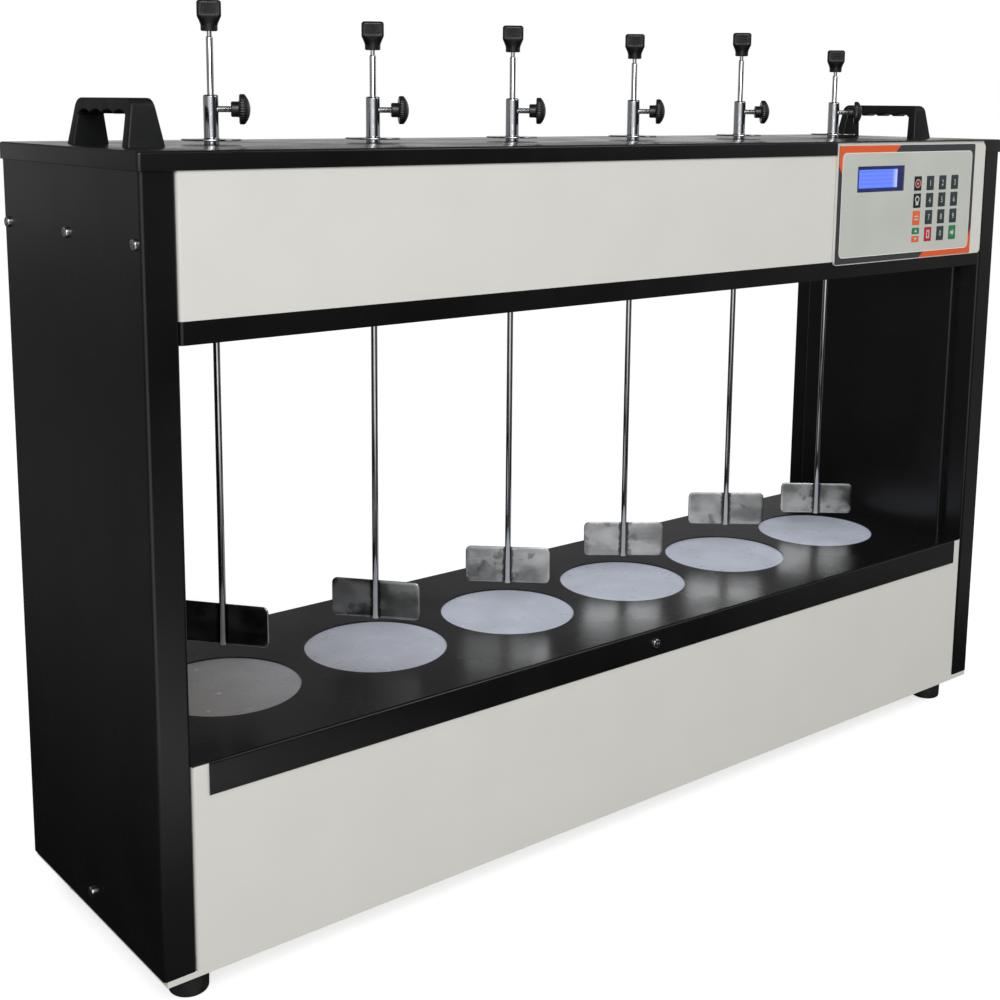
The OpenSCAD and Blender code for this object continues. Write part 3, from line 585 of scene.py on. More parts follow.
def soften(node, width_mm, material):
    """Copy of a CAD node with merged triangles and rounded edges; it replaces the node."""
    source = frame["nodes"][node]
    mesh = source.data.copy()
    mesh.materials.clear()
    shell = bmesh.new()
    shell.from_mesh(mesh)
    bmesh.ops.remove_doubles(shell, verts=shell.verts, dist=2e-6)
    bmesh.ops.dissolve_limit(
        shell, angle_limit=np.radians(0.5), verts=shell.verts, edges=shell.edges
    )
    shell.to_mesh(mesh)
    shell.free()
    mesh.polygons.foreach_set("use_smooth", np.ones(len(mesh.polygons), bool))
    mesh.set_sharp_from_angle(angle=EDGE_ANGLE)
    piece = add_piece(f"{node}_skin", mesh, source["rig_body"], material, [node])
    bevel = piece.modifiers.new("edge_rounding", "BEVEL")
    bevel.width, bevel.segments = width_mm * MM, 2
    bevel.limit_method, bevel.angle_limit = "ANGLE", EDGE_ANGLE
    bevel.miter_outer = "MITER_ARC"
    weighted = piece.modifiers.new("flat_faces", "WEIGHTED_NORMAL")
    weighted.keep_sharp = False
    return piece


for name in ("left_column", "right_column", "left_inner_panel", "right_inner_panel", "head_tray"):
    soften(name, 0.35, black_coat)
for name in ("base_pan", "lower_rear_panel", "upper_front_panel", "upper_rear_panel"):
    soften(name, 0.35, white_coat)
soften("control_housing", 0.5, white_coat)

# %% [markdown]
# ## Lid
# The lid is the piece that shows its folds most: a top with a rim folded down around it. It is
# worked out as a profile, of insets and heights, carried round the plan. Where the control
# housing stands, the rim is cut away, so the heights stop at the underside of the top there.

# %% Lid with rolled edges
SHEET = 1.2
LID_CORNER, LID_ROLL, SHEAR_EDGE = 3.0, 2.2, 0.3
NOTCH_GAP = 0.3
SPINDLE_HOLE = 7.0

lid_low, lid_high = node_box("top_lid")
housing_low, housing_high = node_box("control_housing")
lid_under = lid_high[2] - SHEET
notch = (housing_low[0] - NOTCH_GAP, housing_high[0] + NOTCH_GAP)


def lid_path(inset, repeat):
    """Plan of the lid at an inset, with each end of the notch listed `repeat` times."""
    path = rounded_rectangle(lid_low[:2] + inset, lid_high[:2] - inset, LID_CORNER - inset)
    front_start = len(path) // 4
    ends = [(x, lid_low[1] + inset) for x in notch for _ in range(repeat)]
    return np.insert(path, front_start, ends, axis=0), front_start


roll = np.radians(np.linspace(0, 90, 6))
rim_rows = [
    (SHEET, lid_under),
    (SHEET, lid_low[2] + SHEAR_EDGE),
    (SHEET - SHEAR_EDGE, lid_low[2]),
    (SHEAR_EDGE, lid_low[2]),
    (0.0, lid_low[2] + SHEAR_EDGE),
    *zip(LID_ROLL * (1 - np.cos(roll)), LID_TOP - LID_ROLL * (1 - np.sin(roll))),
]
rim = []
for inset, height in rim_rows:
    path, start = lid_path(inset, 2)
    heights = np.full(len(path), height)
    heights[start + 1 : start + 3] = max(height, lid_under)
    rim.append(np.column_stack([path, heights]))
spindle_holes = [circle(station_axis(n), SPINDLE_HOLE, 48) for n in STATIONS]
lid_parts = [
    grid(np.stack(rim)),
    plate([lid_path(LID_ROLL, 1)[0], *spindle_holes], LID_TOP),
    plate([lid_path(SHEET, 1)[0], *spindle_holes], lid_under),
    *[walls(hole, (lid_under, LID_TOP)) for hole in spindle_holes],
]
lid = add_shape("lid_skin", lid_parts, "cabinet", black_coat, ["top_lid"])
print("lid:", len(lid.data.polygons), "faces, notch from", *np.round(notch, 1))

# %% [markdown]
# ## Jar shelf
# The shelf is one sheet with six round windows, and a lip folded down along its front and its
# rear that stops short of the columns, and its ends are notched round the inner panels. The
# sheet and the two lips are separate closed shells that meet at a hairline in the black paint.

# %% Shelf with windows and folded lips
WINDOW_R = 63.0
SHELF_ROLL, LIP_GAP, HAIRLINE, CLEARANCE = 2.4, 13.3, 0.02, 0.2
shelf_low, shelf_high = node_box("jar_shelf")
shelf_top, sheet_y = shelf_high[2], shelf_high[1] - SHEET
shelf_end, lip_end, fold_y = shelf_high[0], shelf_high[0] - LIP_GAP, shelf_high[1] - SHELF_ROLL

panel_low, panel_high = node_box("right_inner_panel")
notch_x, notch_y = panel_low[0] - CLEARANCE, panel_high[1] + CLEARANCE
right_end = [
    (lip_end, fold_y - HAIRLINE),
    (lip_end, sheet_y),
    (shelf_end, sheet_y),
    (shelf_end, notch_y),
    (notch_x, notch_y),
]
right_side = [(x, -y) for x, y in right_end] + right_end[::-1]
shelf_plan = np.array(right_side + [(-x, -y) for x, y in right_side])
window_rims = [circle(station_axis(n), WINDOW_R + SHEAR_EDGE, 128) for n in STATIONS]
window_walls = [circle(station_axis(n), WINDOW_R, 128) for n in STATIONS]
shelf_parts = [
    plate([shelf_plan, *window_rims], shelf_top),
    plate([shelf_plan, *window_walls], shelf_top - SHEET),
    walls(shelf_plan, (shelf_top - SHEET, shelf_top)),
]
for rim_line, wall_line in zip(window_rims, window_walls):
    rows = (
        (rim_line, shelf_top),
        (wall_line, shelf_top - SHEAR_EDGE),
        (wall_line, shelf_top - SHEET),
    )
    shelf_parts.append(
        grid(np.stack([np.column_stack([line, np.full(len(line), h)]) for line, h in rows]))
    )
fold_centre = (fold_y, shelf_top - SHELF_ROLL)
lip_profile = np.concatenate(
    [
        arc(fold_centre, SHELF_ROLL, 90, 0, 8),
        [
            (shelf_high[1], shelf_low[2] + SHEAR_EDGE),
            (shelf_high[1] - SHEAR_EDGE, shelf_low[2]),
            (sheet_y + SHEAR_EDGE, shelf_low[2]),
            (sheet_y, shelf_low[2] + SHEAR_EDGE),
        ],
        arc(fold_centre, SHELF_ROLL - SHEET, 0, 90, 8),
    ]
)
for side in (-1, 1):
    columns = [
        np.column_stack([np.full(len(lip_profile), x), side * lip_profile[:, 0], lip_profile[:, 1]])
        for x in (-lip_end, lip_end)
    ]
    shelf_parts.append(grid(np.stack(columns), caps=True))
shelf = add_shape(
    "shelf_skin", shelf_parts, "cabinet", black_coat, ["jar_shelf"]
)
print("shelf:", len(shelf.data.polygons), "faces")

# %% [markdown]
# ## Carrying handles
# Each handle is one moulding of black polyamide with a fine spark-eroded grain: two legs that
# spread, a grip with round corners and four grooves for the fingers. Two lines run side by side
# along the arch, the outer one and the inner one with the grooves, and a section with rounded
# edges spans the two at every step. Its width shrinks from the base to the grip.

# %% Handle as a section carried along an arch
HANDLE_TOP_L, HANDLE_TOP_W, HANDLE_LEG, HANDLE_CORNER = 100.0, 17.0, 10.5, 7.5
GROOVES, GROOVE_END, GROOVE_DEPTH, RIDGE_RISE = 4, 41.5, 2.7, 23.3
HANDLE_EDGE, HOLE_CORNER = 1.7, 2.0


def arch_lines(length, height):
    """Outer and inner line in Y and Z: up a leg, round a corner and over half the grip."""
    lean = np.degrees(np.arctan((length - HANDLE_TOP_L) / 2 / height))
    corner_y, corner_z = HANDLE_TOP_L / 2 - HANDLE_CORNER, height - HANDLE_CORNER
    outer_turn = arc((-corner_y, corner_z), HANDLE_CORNER, 180 - lean, 90, 10)
    inner_turn = arc(
        (-GROOVE_END + HOLE_CORNER, RIDGE_RISE - HOLE_CORNER), HOLE_CORNER, 180 - lean, 90, 10
    )
    share = np.linspace(0, 1, 10)[:, None]
    outer_leg = (1 - share) * (-length / 2, 0) + share * outer_turn[0]
    inner_leg = (1 - share) * (HANDLE_LEG - length / 2, 0) + share * inner_turn[0]
    run = np.linspace(0, 1, 81)[1:]
    outer_y = outer_turn[-1][0] * (1 - run)
    inner_y = inner_turn[-1][0] * (1 - run)
    groove = (inner_y + GROOVE_END) / (2 * GROOVE_END / GROOVES) % 1
    inner_z = RIDGE_RISE + GROOVE_DEPTH * (1 - np.abs(2 * groove - 1) ** 1.8)
    outer = np.concatenate(
        [outer_leg[:-1], outer_turn, np.column_stack([outer_y, np.full(80, height)])]
    )
    inner = np.concatenate([inner_leg[:-1], inner_turn, np.column_stack([inner_y, inner_z])])
    return outer, inner


def handle_part(low, high):
    """x = section's place across, times the width at that height; the rest between both lines."""
    length, height, base_w = high[1] - low[1], high[2] - low[2], high[0] - low[0]
    outer, inner = arch_lines(length, height)
    mirrored = np.array([-1, 1])
    outer = np.concatenate([outer, outer[-2::-1] * mirrored])
    inner = np.concatenate([inner, inner[-2::-1] * mirrored])
    thick = np.linalg.norm(outer - inner, axis=1)
    step = (outer - inner) / thick[:, None]
    section = rounded_rectangle((-1, -1), (1, 1), 0.0, 5)
    turn = arc((0, 0), HANDLE_EDGE, 180, 540, 20).reshape(21, 2)
    turn = np.concatenate([turn[5 * k : 5 * k + 6] for k in range(4)])
    along = (section[None, :, 1] + 1) / 2 * (thick[:, None] - 2 * HANDLE_EDGE) + HANDLE_EDGE
    along = along + turn[None, :, 1]
    line = inner[:, None, :] + step[:, None, :] * along[..., None]
    half = (base_w + (HANDLE_TOP_W - base_w) * line[..., 1] / height) / 2
    across = section[None, :, 0] * (half - HANDLE_EDGE) + turn[None, :, 0]
    points = np.concatenate([across[..., None], line], axis=-1)
    middle = np.array([(low[0] + high[0]) / 2, (low[1] + high[1]) / 2, low[2]])
    return grid(points + middle, caps=True)


polyamide = new_material("black_moulded_polyamide", "#101113", 0.46, Specular_IOR_Level=0.35)
vary(polyamide, "Roughness", noise_on(polyamide, 25, 3), 0.4, 0.52)
vary(polyamide, "Base Color", noise_on(polyamide, 14, 3), "#0f1011", "#151618")
relief(polyamide, noise_on(polyamide, 0.9, 2), 0.05, 0.6)
for side in ("left", "right"):
    node = f"{side}_handle"
    part = handle_part(*node_box(node))
    handle = add_shape(f"{node}_grip", [part], "cabinet", polyamide, [node], 50)
print("handle:", len(handle.data.polygons), "faces")

# %% [markdown]
# ## Spindles and their clamp screws
# A spindle is turned from steel tube and chrome plated: a lathe profile, closed round its bore,
# with a rolled top edge and a thin drip disc on a small fillet. The clamp screw has a zinc-plated
# stud with a real M5 thread, a helix whose radius follows a saw of the angle, and a moulded head
# with a serrated rim and a dome.

# %% Chrome, zinc and phenolic
chrome = new_material("bright_chrome_plate", "#c6c8cc", 0.09, Metallic=1.0)
vary(chrome, "Roughness", noise_on(chrome, 7, 3), 0.06, 0.14)
zinc = new_material("bright_zinc_plate", "#c4c5c6", 0.24, Metallic=1.0)
vary(zinc, "Base Color", noise_on(zinc, 2.5, 3), "#a8aaad", "#d3d4d2")
vary(zinc, "Roughness", noise_on(zinc, 1.5, 2), 0.18, 0.34)
phenolic = new_material("black_phenolic", "#101011", 0.36, Coat_Weight=0.12, Coat_Roughness=0.15)
vary(phenolic, "Base Color", noise_on(phenolic, 6, 3), "#0d0d0e", "#151516")
vary(phenolic, "Roughness", noise_on(phenolic, 4, 3), 0.32, 0.46)
relief(phenolic, noise_on(phenolic, 0.6, 2), 0.02, 0.5)

# %% Spindle profile
SPINDLE_R, SPINDLE_BORE, SPINDLE_EDGE, BORE_EDGE = 6.0, 2.8, 1.8, 0.3
DISC_R, DISC_LOW, DISC_T, DISC_FILLET = 23.5, 2.8, 1.5, 0.9


def spindle_profile(foot, top, disc_z):
    """(radius, height) round the wall of the spindle, from the bore's foot outwards and up."""
    disc_top = disc_z + DISC_T
    return np.concatenate(
        [
            [(SPINDLE_BORE, foot + BORE_EDGE), (SPINDLE_BORE + BORE_EDGE, foot)],
            [(SPINDLE_R - BORE_EDGE, foot), (SPINDLE_R, foot + BORE_EDGE), (SPINDLE_R, disc_z)],
            arc((DISC_R - DISC_T / 2, disc_z + DISC_T / 2), DISC_T / 2, -90, 90, 8),
            arc((SPINDLE_R + DISC_FILLET, disc_top + DISC_FILLET), DISC_FILLET, 270, 180, 5),
            arc((SPINDLE_R - SPINDLE_EDGE, top - SPINDLE_EDGE), SPINDLE_EDGE, 0, 90, 8),
            [(SPINDLE_BORE + BORE_EDGE, top), (SPINDLE_BORE, top - BORE_EDGE)],
        ]
    )


# %% Clamp screw
STUD_R, THREAD_PITCH, THREAD_DEPTH, STUD_START = 2.5, 0.8, 0.3, 3.1
HUB_START, HEAD_START, CLAMP_REACH = 15.2, 21.5, 30.2
HUB_R, CLAMP_R, CLAMP_RIM, SERRATIONS, SERRATION_DEPTH = 6.0, 11.7, 4.0, 36, 0.32
ALONG_X = np.array([[0, 0, 1], [0, 1, 0], [-1, 0, 0]])
CLAMP_TURNS = (-27, -29, -39, -43.5, -40, -51)


def stud_part():
    """Threaded rod about Z: the radius falls by a saw of height / pitch less the turn."""
    height = np.arange(STUD_START, HUB_START + 1, THREAD_PITCH / 8)[:, None]
    angle = ring_angles(32)[None, :]
    phase = (height / THREAD_PITCH - angle / (2 * np.pi)) % 1
    radius = STUD_R - THREAD_DEPTH * np.abs(2 * phase - 1)
    points = [radius * np.cos(angle), radius * np.sin(angle), height + 0 * angle]
    return grid(np.stack(points, axis=-1), caps=True)


def clamp_head_part():
    """Hub, serrated rim and dome: a lathe whose rim radius follows a cosine of the angle."""
    dome = CLAMP_REACH - HEAD_START - CLAMP_RIM
    dome_r = (CLAMP_R**2 + dome**2) / (2 * dome)
    start = np.degrees(np.arccos(CLAMP_R * 0.96 / dome_r))
    rows = np.concatenate(
        [
            [(0, HUB_START), (HUB_R - 0.7, HUB_START)],
            [(HUB_R, HUB_START + 0.7), (HUB_R, HEAD_START - 0.8), (HUB_R + 0.8, HEAD_START)],
            [(CLAMP_R - 1.2, HEAD_START), (CLAMP_R - 0.3, HEAD_START + 0.4)],
            [(CLAMP_R, HEAD_START + 1), (CLAMP_R, HEAD_START + 2), (CLAMP_R, HEAD_START + 3)],
            [(CLAMP_R - 0.05, HEAD_START + CLAMP_RIM)],
            arc((0, CLAMP_REACH - dome_r), dome_r, start, 90, 14),
        ]
    )
    points = lathe(rows, SERRATIONS * 8)
    rim = np.clip((rows[:, 0] - CLAMP_R + 1.5) / 1.3, 0, 1)[:, None]
    wave = (1 - np.cos(SERRATIONS * ring_angles(SERRATIONS * 8)))[None, :] / 2
    shrink = 1 - SERRATION_DEPTH * rim * wave / CLAMP_R
    points[..., :2] *= shrink[..., None]
    return grid(points)


for number, turn in zip(STATIONS, CLAMP_TURNS):
    axis = station_axis(number)
    low, high = node_box(f"spindle_{number}")
    profile = spindle_profile(low[2], high[2], LID_TOP + DISC_LOW)
    part = place(grid(lathe(profile, 96), wrap_rows=True), turn_z(0, (*axis, 0)))
    add_shape(
        f"spindle_tube_{number}",
        [part],
        f"spindle_set_{number}",
        chrome,
        [f"spindle_{number}"],
        50,
    )
    low, high = node_box(f"clamp_screw_{number}")
    to_station = turn_z(turn, (*axis, (low[2] + high[2]) / 2))
    to_station[:, :3] = to_station[:, :3] @ ALONG_X
    add_shape(
        f"clamp_stud_{number}",
        [place(stud_part(), to_station)],
        f"clamp_set_{number}",
        zinc,
        [f"clamp_screw_{number}"],
        60,
    )
    clamp_head = add_shape(
        f"clamp_head_{number}",
        [place(clamp_head_part(), to_station)],
        f"clamp_set_{number}",
        phenolic,
    )
print("clamp head:", len(clamp_head.data.polygons), "faces")

# %% [markdown]
# ## Knobs
# The knob on each rod is a square moulding with cut corners, fine ribs down its four faces, a
# taper and a round neck. One polar formula makes its section: the distance to the nearest of
# four sides and four cut corners, blended softly, so that every edge is a little round. Going
# up, the section grows from the circle of the neck to the square.

# %% Knob as a polar surface
KNOB_HALF, KNOB_CUT, KNOB_NECK_R = 9.25, 1.7, 6.5
KNOB_NECK_H, KNOB_TAPER_H, KNOB_BEVEL = 4.7, 6.6, 1.6
RIB_PITCH, RIB_DEPTH, SOFTNESS = 1.25, 0.28, 26.0
KNOB_TURNS = (-27, -33, -39, -44, -48, -51)


def square_radius(angle, half, cut):
    """1 / (sum of powers of the distances to each side pair) to the power 1 / softness."""
    c, s = np.abs(np.cos(angle)), np.abs(np.sin(angle))
    powers = (c / half) ** SOFTNESS + (s / half) ** SOFTNESS
    powers += ((c + s) / (2 * half - cut)) ** SOFTNESS
    return powers ** (-1 / SOFTNESS)


def knob_part(height):
    """Rows of the knob from its neck to its top, each a blend from a circle to the square."""
    top = height - KNOB_BEVEL
    grip_z = KNOB_NECK_H + KNOB_TAPER_H
    bevel = np.radians(np.linspace(0, 90, 6))
    rows = [(0, KNOB_NECK_R * 0.3, 0, 0), (0, KNOB_NECK_R - 0.8, 0, 0)]
    rows += [(0.5, KNOB_NECK_R - 0.1, 0, 0), (1.2, KNOB_NECK_R, 0, 0), (4.1, KNOB_NECK_R, 0, 0)]
    rows += [(4.6, KNOB_NECK_R + 0.15, 0.2, 0)]
    for t in np.linspace(0.12, 1, 8):
        half = KNOB_NECK_R + (KNOB_HALF - KNOB_NECK_R) * t
        rows.append((KNOB_NECK_H + KNOB_TAPER_H * t, half, min(1, 0.2 + t), 0))
    rows += [(grip_z + 0.5, KNOB_HALF, 1, 0), (grip_z + 1.2, KNOB_HALF, 1, 1)]
    rows += [(z, KNOB_HALF, 1, 1) for z in np.linspace(grip_z + 2, top - 1.2, 5)]
    rows += [(top - 0.5, KNOB_HALF, 1, 0)]
    for a in bevel:
        drawn = KNOB_BEVEL * (0.35 * (1 - np.cos(a)) + 0.65 * a / bevel[-1])
        lift = KNOB_BEVEL * (0.35 * np.sin(a) + 0.65 * a / bevel[-1])
        rows.append((top + lift, KNOB_HALF - drawn, 1, 0))
    rows += [(height, KNOB_HALF * 0.4, 1, 0), (height, 0.01, 1, 0)]
    height_row, half, square, ribs = np.array(rows).T[:, :, None]
    angle = (ring_angles(480) + np.pi / 480)[None, :]
    polar = square_radius(angle, half, KNOB_CUT * half / KNOB_HALF)
    radius = half + (polar - half) * square
    lateral = radius * np.minimum(np.abs(np.cos(angle)), np.abs(np.sin(angle)))
    flat = np.clip((KNOB_HALF - KNOB_CUT - lateral) / 0.6, 0, 1)
    radius = radius - ribs * RIB_DEPTH * flat * (1 - np.cos(2 * np.pi * lateral / RIB_PITCH)) / 2
    points = [radius * np.cos(angle), radius * np.sin(angle), height_row + 0 * angle]
    return grid(np.stack(points, axis=-1), caps=True)


for number, turn in zip(STATIONS, KNOB_TURNS):
    low, high = node_box(f"knob_{number}")
    part = place(knob_part(high[2] - low[2]), turn_z(turn, (*station_axis(number), low[2])))
    knob = add_shape(
        f"rod_knob_{number}",
        [part],
        f"stirrer_set_{number}",
        phenolic,
        [f"knob_{number}"],
        42,
    )
print("knob:", len(knob.data.polygons), "faces")

# %% [markdown]
# ## Stirrers
# Each stirrer is a ground stainless rod with a paddle cut from polished sheet, brazed into a
# slot at its foot. The rod is a lathe profile with a turned-down neck under the knob. The paddle
# is a stack of rounded rectangles, each a little inset, so that its edges are rolled, and it is
# bent by a hair, because a flat mirror would look drawn with a ruler. Its polish is uneven:
# smears, water spots and the dark flux that the torch left along the rod.

# %% Rod and paddle
ROD_R, NECK_R, NECK_L, ROD_PAST = 2.75, 1.95, 14.0, 0.5
PADDLE_W, PADDLE_H, PADDLE_T, PADDLE_CORNER, PADDLE_EDGE = 80.0, 34.5, 1.5, 5.0, 0.6
PADDLE_TURNS = (-52, -50, -43, -37, -39, -40)
BEND, BEND_X, BEND_Z = 0.25, 13.0, 21.0  # depth of the bend, and its waves' lengths over 2 pi
UPRIGHT = np.array([[1.0, 0, 0, 0], [0, 0, -1, 0], [0, 1, 0, 0]])


def rod_profile(foot, top):
    """(radius, height) of the rod: a broken edge at the foot, a shoulder and a neck on top."""
    shoulder = top - NECK_L
    return [
        (0, foot),
        (ROD_R - 0.4, foot),
        (ROD_R, foot + 0.4),
        (ROD_R, shoulder - 1),
        (ROD_R - 0.25, shoulder - 0.3),
        (NECK_R, shoulder),
        (NECK_R, top),
        (0, top),
    ]


def paddle_part():
    """Rings inset from the outline: y follows the edge's arc, plus a bend of a sine along x."""
    edge = np.radians(np.linspace(0, 90, 5))
    insets = PADDLE_EDGE * (1 - np.sin(edge))
    front = [(d, PADDLE_T / 2) for d in (16.5, 12.0, 7.0, 3.0)]
    front += [(i, PADDLE_T / 2 - PADDLE_EDGE * (1 - np.cos(a))) for i, a in zip(insets, edge)]
    rows = []
    for inset, depth in front + [(i, -t) for i, t in front[::-1]]:
        corner = max(PADDLE_CORNER - inset, 0.4)
        size = np.array([PADDLE_W / 2 - inset, PADDLE_H / 2 - inset])
        outline = rounded_rectangle(-size, size, corner, 6)
        bend = BEND * np.sin(outline[:, 0] / BEND_X) * np.cos(outline[:, 1] / BEND_Z)
        rows.append(np.column_stack([outline, depth + bend]))
    return place(grid(np.stack(rows), caps=True), UPRIGHT)


def map_plane(mesh, origin, along):
    """UV of each face corner: metres times ten along a level direction, and up."""
    points = np.empty(len(mesh.vertices) * 3, np.float32)
    mesh.vertices.foreach_get("co", points)
    points = points.reshape(-1, 3) - np.array(origin) * MM
    corners = np.empty(len(mesh.loops), np.int32)
    mesh.loops.foreach_get("vertex_index", corners)
    u = points[corners] @ np.array([*along, 0.0])
    layer = mesh.uv_layers.new(name="plane")
    layer.uv.foreach_set("vector", np.column_stack([10 * u, 10 * points[corners, 2]]).ravel())


# %% Stainless steel, ground and polished
ground_steel = new_material("ground_stainless_rod", "#d6d7d4", 0.1, Metallic=1.0)
vary(ground_steel, "Roughness", noise_on(ground_steel, 8, 2, (1, 1, 0.2)), 0.07, 0.14)
vary(ground_steel, "Base Color", noise_on(ground_steel, 20, 2), "#cfd0ce", "#dfe0dd")

paddle_steel = new_material("polished_stainless_paddle", "#a9aaa6", 0.2, Metallic=1.0)
tree = paddle_steel.node_tree
smears = noise_on(paddle_steel, 26, 3, (1, 1, 1.6))
vary(paddle_steel, "Roughness", smears, 0.13, 0.24, 0.38, 0.62)
tint = add_node(tree, "ShaderNodeValToRGB", {"Fac": smears})
for stop, at, code in zip(tint.color_ramp.elements, (0.4, 0.62), ("#9a9c9d", "#bec0c1")):
    stop.position, stop.color = at, srgb(code)
flat = add_node(tree, "ShaderNodeUVMap", uv_map="plane")
flat_xyz = add_node(tree, "ShaderNodeSeparateXYZ", {"Vector": flat.outputs["UV"]})
ragged = add_node(
    tree,
    "ShaderNodeMath",
    {0: noise_on(paddle_steel, 2.6, 4), 1: 0.05, 2: flat_xyz.outputs["X"]},
    operation="MULTIPLY_ADD",
)
from_rod = add_node(tree, "ShaderNodeMath", {0: ragged.outputs[0], 1: -0.025}, operation="ADD")
distance = add_node(tree, "ShaderNodeMath", {0: from_rod.outputs[0]}, operation="ABSOLUTE")
FLUX_FROM, FLUX_TO = 0.040, 0.056  # the flux reaches 4 to 6 mm from the rod's middle
clean = add_node(
    tree,
    "ShaderNodeMapRange",
    {"Value": distance.outputs[0], "From Min": FLUX_FROM, "From Max": FLUX_TO},
)
spots = add_node(
    tree,
    "ShaderNodeMapRange",
    {"Value": noise_on(paddle_steel, 15, 6), "From Min": 0.60, "From Max": 0.64, "To Max": 0.75},
)
marked = add_node(
    tree,
    "ShaderNodeMix",
    {0: spots.outputs["Result"], 6: tint.outputs["Color"], 7: srgb("#74767a")},
    data_type="RGBA",
)
fluxed = add_node(
    tree,
    "ShaderNodeMix",
    {0: clean.outputs["Result"], 6: srgb("#4a4842"), 7: marked.outputs[2]},
    data_type="RGBA",
)
tree.links.new(fluxed.outputs[2], tree.nodes["Principled BSDF"].inputs["Base Color"])

# %% Six stirrers
for number, turn in zip(STATIONS, PADDLE_TURNS):
    low, high = node_box(f"stirrer_{number}")
    axis = station_axis(number)
    rod = place(grid(lathe(rod_profile(low[2], high[2]), 48)), turn_z(0, (*axis, 0)))
    add_shape(
        f"stirrer_rod_{number}",
        [rod],
        f"stirrer_set_{number}",
        ground_steel,
        [f"stirrer_{number}"],
        50,
    )
    middle = (*axis, low[2] + ROD_PAST + PADDLE_H / 2)
    mesh = close_mesh(f"paddle_{number}", [place(paddle_part(), turn_z(turn, middle))], 50)
    map_plane(mesh, middle, (np.cos(np.radians(turn)), np.sin(np.radians(turn))))
    paddle = add_piece(
        f"paddle_{number}", mesh, f"stirrer_set_{number}", paddle_steel
    )
print("paddle:", len(paddle.data.polygons), "faces")

# %% [markdown]
# ## Shelf windows and lamps
# Under the shelf lies one frosted acrylic sheet, cast and sanded on one side. It is lit from
# below, so it looks milky and a little blue, and it glows by itself for that light. Its left end
# is painted greyer: painted shade of the left column and a painted reflection of the dark inner
# panel. Jars have left a few faint smudges. Two lamp strips lie on the pan's floor.

# %% Frosted acrylic and lamp strips
acrylic = new_material("frosted_acrylic_sheet", "#aab0bd", 0.32, Emission_Strength=0.26)
tree = acrylic.node_tree
spot = add_node(tree, "ShaderNodeTexCoord").outputs["Object"]
spot_xyz = add_node(tree, "ShaderNodeSeparateXYZ", {"Vector": spot})
# Painted shade: towards the left end the colour turns to a dark grey (#737170), standing for the
# left column's shade and the mirrored dark inner panel
painted_shade_left_end = add_node(
    tree,
    "ShaderNodeMapRange",
    {"Value": spot_xyz.outputs["X"], "From Min": -0.42, "From Max": -0.12},
    interpolation_type="SMOOTHSTEP",
)
lit = add_node(
    tree,
    "ShaderNodeMix",
    {0: painted_shade_left_end.outputs["Result"], 6: srgb("#737170"), 7: srgb("#bbc0ce")},
    data_type="RGBA",
)
cloud = add_node(
    tree,
    "ShaderNodeMapRange",
    {
        "Value": noise_on(acrylic, 38, 4),
        "From Min": 0.3,
        "From Max": 0.7,
        "To Min": 0.9,
        "To Max": 1.06,
    },
)
smudges = add_node(
    tree,
    "ShaderNodeMapRange",
    {"Value": noise_on(acrylic, 9, 2), "From Min": 0.68, "From Max": 0.76, "To Max": 0.3},
)
clouded = add_node(
    tree,
    "ShaderNodeVectorMath",
    {0: lit.outputs[2], 1: cloud.outputs["Result"]},
    operation="MULTIPLY",
)
worn = add_node(
    tree,
    "ShaderNodeMix",
    {0: smudges.outputs["Result"], 6: clouded.outputs[0], 7: srgb("#d4d6dc")},
    data_type="RGBA",
)
for key in ("Base Color", "Emission Color"):
    tree.links.new(worn.outputs[2], tree.nodes["Principled BSDF"].inputs[key])
vary(acrylic, "Roughness", noise_on(acrylic, 16, 4), 0.26, 0.42)
soften("window_diffuser", 0.3, acrylic)

lamp_board = new_material("white_lamp_board", "#e9e7dd", 0.5)
vary(lamp_board, "Base Color", noise_on(lamp_board, 6, 2), "#e2dfd2", "#f0eee6")
soften("lamp_strips", 0.15, lamp_board)

# %% [markdown]
# ## Feet
# Four moulded rubber feet carry the cabinet. Each is a lathe profile closed round its bore, with
# a recess for the screw, a round lower edge and a shallow moulded ring. Rubber is a dark matte
# grey that dust makes a little lighter in places.

# %% Rubber feet
FOOT_R, FOOT_EDGE, FOOT_RECESS_R, FOOT_BORE_R, FOOT_WEB = 16.0, 2.5, 6.5, 2.15, 8.0

foot_rubber = new_material("moulded_black_rubber", "#171717", 0.62)
vary(foot_rubber, "Base Color", noise_on(foot_rubber, 8, 4), "#131313", "#222221")
vary(foot_rubber, "Roughness", noise_on(foot_rubber, 5, 3), 0.5, 0.72)
relief(foot_rubber, noise_on(foot_rubber, 0.8, 2), 0.03, 0.5)
foot_high = node_box("rubber_feet")[1]
foot_x, foot_y = foot_high[:2] - FOOT_R
foot_h = foot_high[2]
foot_profile = np.concatenate(
    [
        [(FOOT_RECESS_R, 0), (FOOT_RECESS_R, foot_h - FOOT_WEB), (FOOT_BORE_R, foot_h - FOOT_WEB)],
        [(FOOT_BORE_R, foot_h), (FOOT_R - 0.4, foot_h), (FOOT_R, foot_h - 0.4)],
        [(FOOT_R - 0.15, foot_h - 4), (FOOT_R - 0.55, foot_h - 4.5), (FOOT_R - 0.2, foot_h - 5)],
        arc((FOOT_R - 0.6 - FOOT_EDGE, FOOT_EDGE), FOOT_EDGE, 0, -90, 8),
    ]
)
foot_parts = [
    place(
        grid(lathe(foot_profile, 64), wrap_rows=True),
        turn_z(0, (x * foot_x, y * foot_y, 0)),
    )
    for x in (-1, 1)
    for y in (-1, 1)
]
add_shape(
    "rubber_feet_moulded", foot_parts, "cabinet", foot_rubber, ["rubber_feet"]
)

